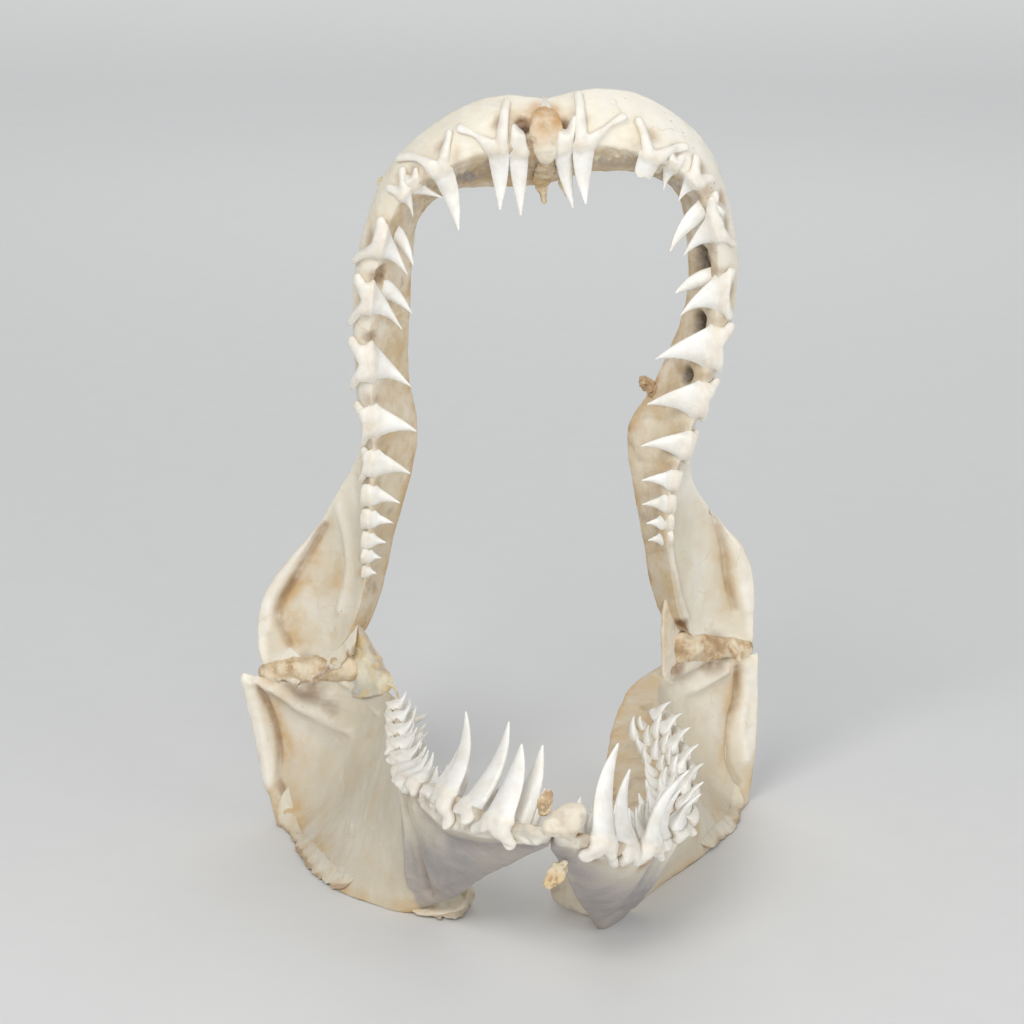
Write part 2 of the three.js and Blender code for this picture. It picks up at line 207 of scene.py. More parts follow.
@dataclass(frozen=True)
class Tooth:
    """One tooth: where it stands on the ridge, its crown, its lean and its root's two lobes."""

    along: float
    height: float
    width: float
    sweep: float
    lean: float
    set_back: float
    mesial: tuple[float, float] | None = None
    distal: tuple[float, float] | None = None
    broken: float = 0.0


@dataclass(frozen=True)
class Rows:
    """Rows of young teeth that stand behind the working row, on the tongue side."""

    start: float
    end: float
    spacing: float
    set_backs: tuple[float, ...]
    height: float
    last_height: float
    width: float
    sweep: float
    lean: float

    UNEVEN = (0.7, 1.15)  # lowest and highest share of a tooth's usual height
    WIDTHS = (0.85, 1.1)
    TAPER = 0.35  # share of the width that is lost towards the joint
    SWEEP_STRAY, LEAN_STRAY, STRAY = 20, 14, 1  # degrees, degrees and millimetres to either side
    SET_BACK_STRAY = 0.8
    ROW_LEAN = 9  # degrees that each further row leans more

    def teeth(self, seed: float) -> list[Tooth]:
        """The rows' teeth, each a little different.

        Args:
            seed: Start of the random order.

        Returns:
            The teeth, row by row.
        """
        chance = np.random.default_rng(int(1000 * seed + self.start))

        def about(value: float, stray: float) -> float:
            """A value that strays to either side."""
            return value + chance.uniform(-stray, stray)

        made = []
        for row, set_back in enumerate(self.set_backs):
            first = self.start + 0.5 * self.spacing * (row % 2)
            for along in np.arange(first, self.end, self.spacing):
                share = (along - self.start) / (self.end - self.start)
                height = self.height + (self.last_height - self.height) * share
                height *= chance.uniform(*self.UNEVEN)
                made.append(
                    Tooth(
                        about(along, self.STRAY),
                        height,
                        self.width * (1 - self.TAPER * share) * chance.uniform(*self.WIDTHS),
                        about(self.sweep, self.SWEEP_STRAY),
                        about(self.lean, self.LEAN_STRAY) + self.ROW_LEAN * row,
                        max(about(set_back, self.SET_BACK_STRAY), YOUNG_FROM),
                    )
                )
        return made


@dataclass
class Sections:
    """Cross-sections of a jaw half at many places at once."""

    ridge: Array
    outer: Array
    inner: Array
    wall: Array
    dish: Array

    def __post_init__(self) -> None:
        """Works out the sections' directions."""
        self.up = unit(self.outer - self.ridge)
        self.back = unit(self.inner - self.ridge)
        self.lingual = square(self.back, self.up)
        self.dorsal = square(self.up, self.back)
        self.tall = np.linalg.norm(self.outer - self.ridge, axis=1)
        self.deep = np.linalg.norm(self.inner - self.ridge, axis=1)

    def face(self, share: Array, depth: Array) -> Array:
        """Points of the outer face.

        Args:
            share: How far each point lies from ridge to outer margin.
            depth: How far under the face it lies.

        Returns:
            One point for each section.
        """
        f = np.broadcast_to(share, self.wall.shape)
        sunk = (depth - self.dish * 4 * f * (1 - f))[:, None] * self.lingual
        return self.ridge + (self.outer - self.ridge) * f[:, None] + sunk

    def side(self, share: float, depth: Array) -> Array:
        """Points of the tongue side, a share of the way to the inner margin."""
        return self.ridge + (self.inner - self.ridge) * share + self.dorsal * np.reshape(depth, (-1, 1))


class Rails:
    """The ridge, outer and inner margins of one jaw half as curves."""

    def __init__(self, stations: tuple[Station, ...]) -> None:
        """Lays curves through the stations.

        Args:
            stations: The cross-sections, from the symphysis to the joint.
        """
        self.ridge = Curve([s.ridge for s in stations])
        self.outer = Curve([s.outer for s in stations])
        self.inner = Curve([s.inner for s in stations])
        self.sizes = Curve([(s.wall, s.dish, 10.0 * i) for i, s in enumerate(stations)])

    def sections(self, t: Array) -> Sections:
        """The cross-sections at places from 0 to 1."""
        wall, dish, _ = self.sizes.at(t).T
        return Sections(self.ridge.at(t), self.outer.at(t), self.inner.at(t), wall, dish)


@dataclass
class FaceMap:
    """The finished outer face of a jaw half, which roots are laid on."""

    distances: Array
    talls: Array
    shares: Array
    points: Array
    normals: Array

    def on(self, along: Array, drop: Array, lift: Array) -> Array:
        """Points that stand out from the outer face.

        Args:
            along: Distances along the ridge.
            drop: Distances from the ridge down the face.
            lift: How far each point stands out.

        Returns:
            Points in the station frame.
        """
        ring = np.interp(along, self.distances, np.arange(len(self.distances)))
        tall = np.interp(along, self.distances, self.talls)
        column = np.interp(np.clip(drop / tall, 0, 0.97), self.shares, np.arange(len(self.shares)))
        low = ring.astype(int), column.astype(int)
        high = tuple(np.minimum(k + 1, n - 1) for k, n in zip(low, self.points.shape[:2]))
        a, b = ((ring - low[0])[:, None], (column - low[1])[:, None])
        places = []
        for grid in (self.points, self.normals):
            first = grid[low[0], low[1]] * (1 - b) + grid[low[0], high[1]] * b
            last = grid[high[0], low[1]] * (1 - b) + grid[high[0], high[1]] * b
            places.append(first * (1 - a) + last * a)
        return places[0] + unit(places[1]) * lift[:, None]


def closed_piece(name: str, points: Array, faces: list, marks: dict[str, Array]) -> Piece:
    """Makes a smooth closed mesh object from points in the station frame.

    Args:
        name: The object's name.
        points: Vertices in millimetres.
        faces: Faces as rows of vertex numbers.
        marks: Values for each vertex, held from 0 to 1 and written as attributes that materials read.

    Returns:
        The new object, linked to the scene, with its faces turned outwards.
    """
    mesh = bpy.data.meshes.new(name)
    mesh.from_pydata(((points + SHIFT) * MM).tolist(), [], faces)
    for key, values in marks.items():
        held = np.clip(values, 0, 1).astype(np.float32)
        mesh.attributes.new(key, "FLOAT", "POINT").data.foreach_set("value", held)
    mesh.shade_smooth()
    mesh.validate()
    made = bpy.data.objects.new(name, mesh)
    bpy.context.scene.collection.objects.link(made)
    work = bmesh.new()
    work.from_mesh(mesh)
    bmesh.ops.remove_doubles(work, verts=work.verts, dist=SAME_SPOT)
    bmesh.ops.recalc_face_normals(work, faces=work.faces)
    work.to_mesh(mesh)
    work.free()
    return made


def tube_faces(rings: int, around: int) -> list:
    """Quads between neighbouring closed rings, with a face over each end.

    Args:
        rings: Number of rings.
        around: Points in each ring.

    Returns:
        Faces as rows of vertex numbers.
    """
    i, j = np.meshgrid(np.arange(rings - 1), np.arange(around), indexing="ij")
    k = (j + 1) % around
    quads = [i * around + j, i * around + k, (i + 1) * around + k, (i + 1) * around + j]
    faces = np.stack(quads, -1).reshape(-1, 4).tolist()
    ends = list(range(around)), [(rings - 1) * around + k for k in range(around)]
    return [*faces, ends[0][::-1], ends[1]]


def surface_nets(field: Array, low: Array, step: float) -> tuple[Array, Array]:
    """Draws the surface where a sampled field passes from negative, inside, to positive.

    Args:
        field: Values on a regular grid.
        low: Position of the grid's first point.
        step: Distance between grid points.

    Returns:
        Vertices, and faces as rows of four vertex numbers.
    """
    cells = tuple(n - 1 for n in field.shape)
    total = np.zeros((*cells, 3))
    count = np.zeros(cells)
    crossings = []
    for axis in range(3):
        first = np.moveaxis(field, axis, 0)[:-1]
        second = np.moveaxis(field, axis, 0)[1:]
        cross = np.moveaxis((first < 0) != (second < 0), 0, axis)
        share = np.moveaxis(first / np.where(first == second, 1.0, first - second), 0, axis)
        at = np.argwhere(cross)
        place = at.astype(float)
        place[:, axis] += share[cross]
        inward = np.moveaxis(first < 0, 0, axis)[cross]
        crossings.append((axis, at, inward))
        others = [k for k in range(3) if k != axis]
        for da in (0, 1):
            for db in (0, 1):
                cell = at.copy()
                cell[:, others[0]] -= da
                cell[:, others[1]] -= db
                good = np.all((cell >= 0) & (cell < np.array(cells)), axis=1)
                np.add.at(total, tuple(cell[good].T), place[good])
                np.add.at(count, tuple(cell[good].T), 1)
    used = count > 0
    number = np.full(cells, -1)
    number[used] = np.arange(np.count_nonzero(used))
    points = low + step * total[used] / count[used][:, None]
    quads = []
    for axis, at, inward in crossings:
        a, b = (k for k in range(3) if k != axis)
        good = (at[:, a] > 0) & (at[:, b] > 0) & (at[:, a] < cells[a]) & (at[:, b] < cells[b])
        corners = []
        for da, db in ((1, 1), (0, 1), (0, 0), (1, 0)):
            cell = at[good].copy()
            cell[:, a] -= da
            cell[:, b] -= db
            corners.append(number[tuple(cell.T)])
        quad = np.stack(corners, axis=1)
        turn = inward[good] == (axis == 1)
        quad[turn] = quad[turn][:, ::-1]
        quads.append(quad)
    return points, np.vstack(quads)


def blend_distance(a: Array, b: Array, width: float) -> Array:
    """The smooth union of two distance fields, rounded over a width."""
    h = np.clip(0.5 + 0.5 * (b - a) / width, 0, 1)
    return b + (a - b) * h - width * h * (1 - h)


def line_distance(points: Array, line: Array) -> Array:
    """The distance of each point to a line of straight stretches.

    Args:
        points: Positions, one row each.
        line: The line's own points, one row each.

    Returns:
        One distance for each point.
    """
    best = np.full(len(points), np.inf)
    for a, b in zip(line[:-1], line[1:]):
        along = np.clip((points - a) @ (b - a) / ((b - a) @ (b - a)), 0, 1)
        best = np.minimum(best, np.linalg.norm(points - a - along[:, None] * (b - a), axis=1))
    return best


class NodeTree:
    """A material's nodes, with short calls for the ones used here."""

    STRAY = 2.5  # how much finer a crack's wandering is than the patches round it

    def __init__(self, name: str) -> None:
        """Starts a material with a shader and nothing linked to it.

        Args:
            name: The material's name.
        """
        self.material = bpy.data.materials.new(name)
        self.material.use_nodes = True
        self.tree = self.material.node_tree
        self.shader = self.tree.nodes["Principled BSDF"]
        self.place = self.add("ShaderNodeTexCoord").outputs["Object"]

    def add(self, kind: str, inputs: dict | None = None, **settings: object) -> bpy.types.Node:
        """Adds a node.

        Args:
            kind: The node's type.
            inputs: Sockets or values for its inputs, by name or number.
            **settings: Values for its properties.

        Returns:
            The new node.
        """
        node = self.tree.nodes.new(kind)
        for key, value in settings.items():
            setattr(node, key, value)
        self.feed(node, inputs or {})
        return node

    def feed(self, node: bpy.types.Node, inputs: dict) -> None:
        """Links sockets to a node's inputs, or sets them to plain values.

        Args:
            node: The node.
            inputs: Sockets or values, by the name or number of the input.
        """
        for key, source in inputs.items():
            if isinstance(source, Socket):
                self.tree.links.new(source, node.inputs[key])
            else:
                node.inputs[key].default_value = source

    def mark(self, name: str) -> Socket:
        """A value painted on the mesh."""
        return self.add("ShaderNodeAttribute", attribute_name=name).outputs["Fac"]

    def noise(self, scale: float, detail: float, rough: float, stretch: Spot = (1.0, 1.0, 1.0)) -> Socket:
        """Noise over the object, 0 to 1.

        Args:
            scale: Lumps in each metre.
            detail: Number of finer layers.
            rough: Strength of the finer layers.
            stretch: How much the lumps are squeezed along each axis.

        Returns:
            The noise value's socket.
        """
        place = self.add("ShaderNodeMapping", {"Vector": self.place, "Scale": stretch}).outputs["Vector"]
        inputs = {"Vector": place, "Scale": scale, "Detail": detail, "Roughness": rough}
        return self.add("ShaderNodeTexNoise", inputs).outputs["Fac"]

    def cracks(self, scale: float, wander: float) -> Socket:
        """Distance to the nearest of many fine wandering lines.

        Args:
            scale: Patches between the lines in each metre.
            wander: How far the lines stray, in metres.

        Returns:
            The distance's socket.
        """
        stray = self.add("ShaderNodeTexNoise", {"Vector": self.place, "Scale": self.STRAY * scale})
        inputs = {0: stray.outputs["Color"], 1: (wander,) * 3, 2: self.place}
        place = self.add("ShaderNodeVectorMath", inputs, operation="MULTIPLY_ADD").outputs["Vector"]
        inputs = {"Vector": place, "Scale": scale}
        return self.add("ShaderNodeTexVoronoi", inputs, feature="DISTANCE_TO_EDGE").outputs["Distance"]

    def cells(self, scale: float) -> Socket:
        """Distance to the nearest of many scattered points, a scale of them in each metre."""
        inputs = {"Vector": self.place, "Scale": scale}
        return self.add("ShaderNodeTexVoronoi", inputs).outputs["Distance"]

    def remap(
        self, value: Socket, low: float, high: float, to_low: float = 0.0, to_high: float = 1.0
    ) -> Socket:
        """A value stretched from one range to another, low to high, and held inside it."""
        inputs = {"Value": value, "From Min": low, "From Max": high, "To Min": to_low, "To Max": to_high}
        return self.add("ShaderNodeMapRange", inputs, interpolation_type="SMOOTHSTEP").outputs["Result"]

    def product(self, a: object, b: object) -> Socket:
        """Two values multiplied."""
        return self.add("ShaderNodeMath", {0: a, 1: b}, operation="MULTIPLY").outputs[0]

    def blend(self, share: object, under: object, over: object) -> Socket:
        """One colour laid over another.

        Args:
            share: How much of the upper colour shows, from 0 to 1.
            under: The lower colour, a socket or red, green and blue.
            over: The upper colour.

        Returns:
            The new colour's socket.
        """
        a, b = ((*tone, 1.0) if isinstance(tone, tuple) else tone for tone in (under, over))
        inputs = {"Factor": share, "A": a, "B": b}
        return self.add("ShaderNodeMix", inputs, data_type="RGBA").outputs["Result"]

    def paint(self, colour: object, layers: tuple) -> Socket:
        """Lays tones over a colour where marks are painted on the mesh.

        Args:
            colour: The colour under them all.
            layers: Rows of a mark, a pattern that breaks it up, the pattern's range and the tone.

        Returns:
            The new colour's socket.
        """
        for mark, pattern, spread, tone in layers:
            colour = self.blend(self.product(self.mark(mark), self.remap(pattern, *spread)), colour, tone)
        return colour

    def relief(self, *layers: tuple[Socket, float, float]) -> Socket:
        """Bumps laid over each other.

        Args:
            *layers: The height, strength and distance in metres of each one, the lowest first.

        Returns:
            The normal's socket.
        """
        below = {}
        for height, strength, distance in layers:
            inputs = {"Height": height, "Strength": strength, "Distance": distance, **below}
            below = {"Normal": self.add("ShaderNodeBump", inputs).outputs["Normal"]}
        return below["Normal"]

    def finish(self, colour: Socket, roughness: object, normal: Socket, **shader: object) -> Material:
        """Links colour, roughness and bump to the shader.

        Args:
            colour: The colour's socket.
            roughness: The roughness's socket or number.
            normal: The bump's socket.
            **shader: Other inputs of the shader, with _ for each space in their names.

        Returns:
            The material.
        """
        named = {key.replace("_", " "): value for key, value in shader.items()}
        inputs = {"Base Color": colour, "Roughness": roughness, "Normal": normal, **named}
        self.feed(self.shader, inputs)
        return self.material


@dataclass(frozen=True)
class CartilageFinish:
    """Dried cartilage: cream, with tan beds, pale margins, greyish torn patches and painted shade,
    near-black painted shade in pits, and brown crevices.
    """

    name: str = "dried_cartilage"
    cream: Spot = (0.81, 0.74, 0.59)
    pale: Spot = (0.88, 0.84, 0.75)
    tan: Spot = (0.60, 0.43, 0.23)
    brown: Spot = (0.22, 0.11, 0.045)
    # The next tone is painted shade on faces that look down, hollow fronts and grooves, and the greyness
    # of torn tissue.
    grey: Spot = (0.37, 0.335, 0.325)
    # The near-black tone is painted shade inside pits.
    hole: Spot = (0.045, 0.026, 0.015)
    honey: Spot = (0.72, 0.58, 0.34)
    rust: Spot = (0.55, 0.29, 0.08)
    # A cooler, darker tone of the same painted shade.
    cool: Spot = (0.29, 0.285, 0.30)
    dull: Spot = (0.575, 0.525, 0.42)

    def make(self) -> Material:
        """Builds the material.

        Returns:
            The new material.
        """
        n = NodeTree(self.name)
        cloud = n.noise(28, 5, 0.6)
        mottle = n.noise(110, 4, 0.6)
        grain = n.noise(900, 3, 0.6)
        fibre = n.noise(300, 5, 0.62, (0.35, 0.35, 1.0))
        colour = n.blend(n.remap(cloud, 0.4, 0.68), self.cream, self.pale)
        colour = n.blend(n.remap(n.noise(48, 6, 0.68), 0.5, 0.72, 0.0, 0.5), colour, self.honey)
        colour = n.blend(n.remap(n.noise(85, 5, 0.66), 0.5, 0.68, 0.0, 0.6), colour, self.pale)
        layers = (
            ("dull", cloud, (0.3, 0.72, 1.0, 0.55), self.dull),
            ("tan", mottle, (0.36, 0.64, 0.4, 1.0), self.tan),
            ("pale", mottle, (0.2, 0.7, 1.0, 0.55), self.pale),
            # Painted shade: these two layers darken and cool faces that look down, hollow fronts and
            # grooves; they also tint torn tissue.
            ("grey", fibre, (0.3, 0.7, 0.68, 1.0), self.grey),
            ("grey", cloud, (0.4, 0.62, 0.0, 0.5), self.cool),
            # Brown in crevices: real stains, with painted shade in the dips of straps and the hollows
            # between root lobes.
            ("crevice", mottle, (0.3, 0.62, 0.35, 1.0), self.brown),
            # Painted shade: near-black inside pits.
            ("hole", grain, (0.3, 0.7, 0.75, 1.0), self.hole),
            ("rust", mottle, (0.3, 0.65, 0.35, 1.0), self.rust),
        )
        colour = n.paint(colour, layers)
        cracks = n.remap(n.cracks(45, 0.006), 0.003, 0.016, 1.0, 0.0)
        cracks = n.product(cracks, n.remap(mottle, 0.48, 0.62, 0.0, 0.3))
        colour = n.blend(cracks, colour, self.tan)
        specks = n.product(n.remap(n.cells(240), 0.03, 0.11, 0.55, 0.0), n.remap(cloud, 0.5, 0.62))
        colour = n.blend(specks, colour, self.brown)
        normal = n.relief(
            (fibre, 0.5, 0.0007), (mottle, 0.3, 0.0012), (grain, 0.16, 0.0003),
            (n.cells(520), 0.14, 0.0003), (cracks, -0.4, 0.0004),
        )
        return n.finish(
            colour, n.remap(mottle, 0.3, 0.7, 0.42, 0.62), normal, Subsurface_Weight=0.12,
            Subsurface_Radius=(1.0, 0.55, 0.3), Subsurface_Scale=0.003, Specular_IOR_Level=0.4,
        )


@dataclass(frozen=True)
class ToothFinish:
    """Glossy white enamel on the crown over a dull, porous cream root."""

    name: str = "tooth_enamel_and_root"
    enamel: Spot = (0.90, 0.885, 0.84)
    shade: Spot = (0.80, 0.765, 0.69)
    root: Spot = (0.86, 0.82, 0.74)
    stain: Spot = (0.60, 0.46, 0.28)

    def make(self) -> Material:
        """Builds the material.

        Returns:
            The new material.
        """
        n = NodeTree(self.name)
        cloud = n.noise(140, 4, 0.55)
        streak = n.noise(420, 3, 0.6, (1.0, 1.0, 0.3))
        crown = n.blend(n.remap(cloud, 0.35, 0.7), self.enamel, self.shade)
        root = n.blend(n.remap(cloud, 0.5, 0.75, 0.0, 0.35), self.root, self.stain)
        on_crown = n.remap(n.mark("enamel"), 0.35, 0.65)
        colour = n.paint(n.blend(on_crown, root, crown), (("crevice", streak, (0.3, 0.6), self.stain),))
        normal = n.relief((n.cells(1500), 0.2, 0.00025), (streak, 0.12, 0.0003))
        return n.finish(
            colour, n.remap(on_crown, 0.0, 1.0, 0.6, 0.26), normal, Subsurface_Weight=0.1,
            Subsurface_Radius=(0.8, 0.6, 0.4), Subsurface_Scale=0.002,
        )


@dataclass(frozen=True)
class TissueFinish:
    """Dried tissue: light brown and fibrous, with painted shade in its folds."""

    name: str = "dried_tissue"
    light: Spot = (0.66, 0.49, 0.29)
    dark: Spot = (0.27, 0.15, 0.07)
    cream: Spot = (0.76, 0.66, 0.49)

    def make(self) -> Material:
        """Builds the material.

        Returns:
            The new material.
        """
        n = NodeTree(self.name)
        cloud = n.noise(120, 6, 0.68)
        fibre = n.noise(600, 4, 0.65, (1.0, 1.0, 0.25))
        colour = n.blend(n.remap(cloud, 0.4, 0.65), self.light, self.cream)
        colour = n.blend(n.product(n.remap(cloud, 0.34, 0.56, 1.0, 0.0), 0.65), colour, self.dark)
        # Painted shade: the straps' crevice mark darkens the dips of their crumpled surface.
        colour = n.blend(n.mark("crevice"), colour, self.dark)
        return n.finish(
            colour, n.remap(cloud, 0.3, 0.7, 0.4, 0.72), n.relief((fibre, 0.5, 0.0008)),
            Subsurface_Weight=0.1, Subsurface_Radius=(1.0, 0.5, 0.25), Subsurface_Scale=0.002,
        )


@dataclass(frozen=True)
class MembraneFinish:
    """A thin dried skin that lets light through: golden, with clearer cream streaks and brown edges."""

    name: str = "thin_dried_membrane"
    golden: Spot = (0.66, 0.50, 0.28)
    cream: Spot = (0.80, 0.72, 0.56)
    cool: Spot = (0.52, 0.53, 0.52)
    brown: Spot = (0.27, 0.14, 0.06)

    def make(self) -> Material:
        """Builds the material.

        Returns:
            The new material.
        """
        n = NodeTree(self.name)
        cloud = n.noise(90, 5, 0.6)
        streak = n.noise(260, 5, 0.65, (1.0, 1.0, 0.3))
        layers = (
            ("grey", cloud, (0.3, 0.6), self.cool),
            ("pale", streak, (0.3, 0.7), self.cream),
            # Brown on the sheets' free edges, and painted shade in the dips of the membrane straps.
            ("crevice", streak, (0.25, 0.6), self.brown),
        )
        colour = n.paint(n.blend(n.remap(cloud, 0.36, 0.6), self.cream, self.golden), layers)
        normal = n.relief((streak, 0.4, 0.0006), (cloud, 0.3, 0.0015))
        return n.finish(
            colour, n.remap(streak, 0.3, 0.7, 0.32, 0.6), normal,
            Subsurface_Weight=0.3, Subsurface_Radius=(1.0, 0.6, 0.3), Subsurface_Scale=0.004,
        )


@dataclass(frozen=True)
class FloorFinish:
    """The plain pale floor."""

    name: str = "pale_floor"
    tone: Spot = (0.78, 0.78, 0.77)
    darker: float = 0.97  # brightness of the flecks

    def make(self) -> Material:
        """Builds the material.

        Returns:
            The new material.
        """
        n = NodeTree(self.name)
        fleck = n.noise(60, 3, 0.5)
        colour = n.blend(fleck, self.tone, tuple(self.darker * c for c in self.tone))
        return n.finish(colour, 0.85, n.relief((fleck, 0.05, 0.0005)))


@dataclass
class Finishes:
    """The materials that the pieces share."""

    cartilage: Material
    tooth: Material
    tissue: Material
    membrane: Material

    @classmethod
    def build(cls: type["Finishes"]) -> "Finishes":
        """Makes every shared material once."""
        kinds = (CartilageFinish, ToothFinish, TissueFinish, MembraneFinish)
        return cls(*(kind().make() for kind in kinds))

    def of(self, look: Look) -> Material:
        """The material of a look."""
        return getattr(self, look.value)


def dress(piece: Piece, material: Material, nodes: tuple[str, ...] = ()) -> None:
    """Gives a piece its looks and its place in the record.

    Args:
        piece: The piece.
        material: Its material.
        nodes: The CAD nodes that it stands for.
    """
    piece.data.materials.append(material)
    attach(piece, "root")
    if nodes:
        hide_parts(*nodes)


@dataclass(frozen=True)
class Stain:
    """A soft-edged patch of one mark on the surface, with a dimple under it if it has a depth."""

    mark: Mark
    centre: Spot
    radius: float
    strength: float = 1.0
    depth: float = 0.0

    def on(self, points: Array) -> Array:
        """The patch's value at points, from 0 to its strength."""
        gap = np.linalg.norm(points - np.array(self.centre), axis=1)
        return self.strength * (1 - smooth(gap, 0.35 * self.radius, self.radius))

    def dimple(self, points: Array) -> Array:
        """The depth of the dimple at points."""
        gap = np.linalg.norm(points - np.array(self.centre), axis=1)
        return self.depth * (1 - smooth(gap, 0.2 * self.radius, self.radius))


@dataclass(frozen=True)
class Fold:
    """A ridge, or a groove with a height below 0, along a line on the outer face."""

    line: tuple[Spot, ...]
    height: float
    width: float
    mark: Mark = Mark.PALE
    strength: float = 0.0

    def on(self, points: Array) -> Array:
        """The fold's profile at points, from 0 to 1."""
        path = Curve(self.line).at(np.linspace(0, 1, 24))
        return np.exp(-((line_distance(points, path) / self.width) ** 2))


@dataclass(frozen=True)
class Skin:
    """A jaw half's vertices before its relief, with where each one lies."""

    points: Array
    face: Array
    share: Array
    side: Array
    along: Array
    plate: Array
    tall: Array


@dataclass
class JawHalf:
    """One half of a jaw: its cartilage with the teeth that stand on it."""

    name: str
    opening: Opening
    stations: tuple[Station, ...]
    teeth: tuple[Tooth, ...]
    stains: tuple[Stain, ...] = ()
    folds: tuple[Fold, ...] = ()
    rows: tuple[Rows, ...] = ()
    flap: "MarginFlap | None" = None
    seed: float = 1.0
    front_end: float = 84.0
    front_slant: float = 24.0
    rings: int = 400
    samples: int = 11  # points round a section for each of its control points
    crotch_reach: float = 0.45  # most of a section's height that the walls' meeting takes up
    side_sag: float = 0.6
    root_swell: float = 0.35
    root_notch: float = 1.3
    file_groove: float = 0.5
    torn_end: float = 75.0  # where the torn tissue behind the front teeth ends
    gum_drop: float = 13.0  # how far the dried gum reaches down the lower jaw's front
    settle: float = 1.3  # how far the margin sinks onto the floor
    settle_height: float = 6.0
    inset: float = 0.25  # how far the surface lies inside its smooth form
    smooth_end: float = 0.012  # share of the length at each end that has no relief
    plate_heights: tuple[float, float] = (20.0, 34.0)  # where a tall section starts to be a plate
    rails: Rails = field(init=False)
    face_map: FaceMap | None = field(init=False, default=None)

    LUMPS = ((0.5, 26.0, 0, 3), (0.22, 7.0, 9, 3), (0.07, 2.2, 5, 2))  # height, size, seed step, octaves

    def __post_init__(self) -> None:
        """Lays the margins as curves."""
        self.rails = Rails(self.stations)

    def controls(self, s: Sections) -> tuple[Array, Array]:
        """Control points round every section, and what each one is.

        Args:
            s: The sections.

        Returns:
            Points of shape (sections, controls, 3), and rows of (outer face, share of the way
            from ridge to margin, tongue side) for each control.
        """
        reach = np.minimum(s.wall, np.minimum(s.tall, s.deep) * self.crotch_reach)
        crotch = s.ridge + (s.up + s.back) * reach[:, None]
        inner_edge, back_edge = s.side(1.0, s.wall * 0.75), s.face(0.82, s.wall * 0.95)
        level = s.wall * 0.0
        sags = {share: -self.side_sag * math.sin(math.pi * share) for share in SIDE_SHARES}
        rows = [
            (s.face(1.0, s.wall * 0.5) + s.up * (s.wall * 0.2)[:, None], (0.6, 1.0, 0.0)),
            *((s.face(share, level), (1.0, share, 0.0)) for share in FACE_SHARES),
            (s.ridge, (0.5, 0.0, 0.5)),
            *((s.side(share, level + sag), (0.0, share, 1.0)) for share, sag in sags.items()),
            (s.side(1.0, s.wall * 0.12), (0.0, 1.0, 0.8)),
            (s.side(1.0, s.wall * 0.6), (0.0, 1.0, 0.4)),
            (inner_edge * 0.85 + crotch * 0.15, (0.0, 0.9, 0.0)),
            (inner_edge * 0.45 + crotch * 0.55, (0.0, 0.5, 0.0)),
            (crotch, (0.0, 0.1, 0.0)),
            (crotch * 0.55 + back_edge * 0.45, (0.0, 0.4, 0.0)),
            (back_edge, (0.0, 0.8, 0.0)),
            (s.face(0.95, s.wall), (0.0, 0.95, 0.0)),
            (s.face(1.0, s.wall * 0.9), (0.2, 1.0, 0.0)),
        ]
        points, kinds = zip(*rows)
        return np.stack(points, axis=1), np.array(kinds)

    def around(self, count: int) -> Array:
        """Weights of a closed cubic B-spline over its control points.

        Args:
            count: Number of control points.

        Returns:
            One row of weights for each sample.
        """
        total = count * self.samples
        weights = np.zeros((total, count))
        for k in range(total):
            i, w = divmod(k / self.samples, 1.0)
            basis = (
                (1 - w) ** 3 / 6,
                (3 * w**3 - 6 * w**2 + 4) / 6,
                (-3 * w**3 + 3 * w**2 + 3 * w + 1) / 6,
                w**3 / 6,
            )
            for j, share in enumerate(basis):
                weights[k, (int(i) + j - 1) % count] += share
        return weights

    def standing(self) -> list[Tooth]:
        """The teeth whose roots lie on the outer face."""
        return [t for t in self.teeth if t.set_back < YOUNG_FROM and t.height > 3]

    def relief(self, skin: Skin) -> Array:
        """How far the surface stands out from its smooth form.

        Args:
            skin: The vertices.

        Returns:
            A height for each vertex.
        """
        points, face, share, side = skin.points, skin.face, skin.share, skin.side
        height = sum(
            tall * fractal(points, wavelength, self.seed + step, octaves)
            for tall, wavelength, step, octaves in self.LUMPS
        )
        thick = 1 - 0.75 * skin.plate
        for tooth in self.standing():
            near = bump(skin.along, tooth.along, 0.6 * tooth.width + 3.0)
            notch = bump(skin.along, tooth.along, 0.2 * tooth.width + 0.8)
            drop = share * skin.tall
            height += self.root_swell * near * face * bump(drop, 5.0, 7.0) * thick
            height -= self.root_notch * notch * face * bump(drop, 0.3 * tooth.height + 2.5, 2.4) * thick
            height += 0.5 * near * side * bump(share, 0.1, 0.25)
            gap = bump(skin.along, tooth.along + 0.5 * tooth.width + 2.5, 1.6)
            groove = smooth(share, 0.05, 0.3) * (1 - smooth(share, 0.8, 1.0))
            height -= self.file_groove * gap * side * groove
        for fold in self.folds:
            height += fold.height * fold.on(points) * face
        for stain in self.stains:
            if stain.depth:
                height -= stain.dimple(points)
        height += 0.8 * skin.plate * face * bump(share, 0.97, 0.07)
        granular = np.abs(fractal(points, 3.4, self.seed + 4, 2))
        torn = side * bump(share, 0.45, 0.35) * self.torn_part(skin)
        if self.opening is Opening.UPPER:
            return height + 2.4 * granular * torn
        lumps = np.abs(fractal(points, 6.5, self.seed + 8, 2))
        return height + 2.0 * lumps * self.gum(skin) + granular * torn

    def torn_part(self, skin: Skin) -> Array:
        """How far each vertex lies where tissue was torn off behind the front teeth."""
        return 1 - smooth(skin.along, self.torn_end - 25.0, self.torn_end)

    def in_front(self, skin: Skin) -> Array:
        """How far each vertex lies in the front part, which a slanting crease sets off."""
        edge = self.front_end + self.front_slant * (1 - skin.share)
        return 1 - smooth(skin.along - edge, -1.5, 1.5)

    def gum(self, skin: Skin) -> Array:
        """How far each vertex lies in the dried gum under the lower front teeth."""
        under = 1 - smooth(skin.share * skin.tall, self.gum_drop - 5.0, self.gum_drop)
        return skin.face * under * self.in_front(skin)

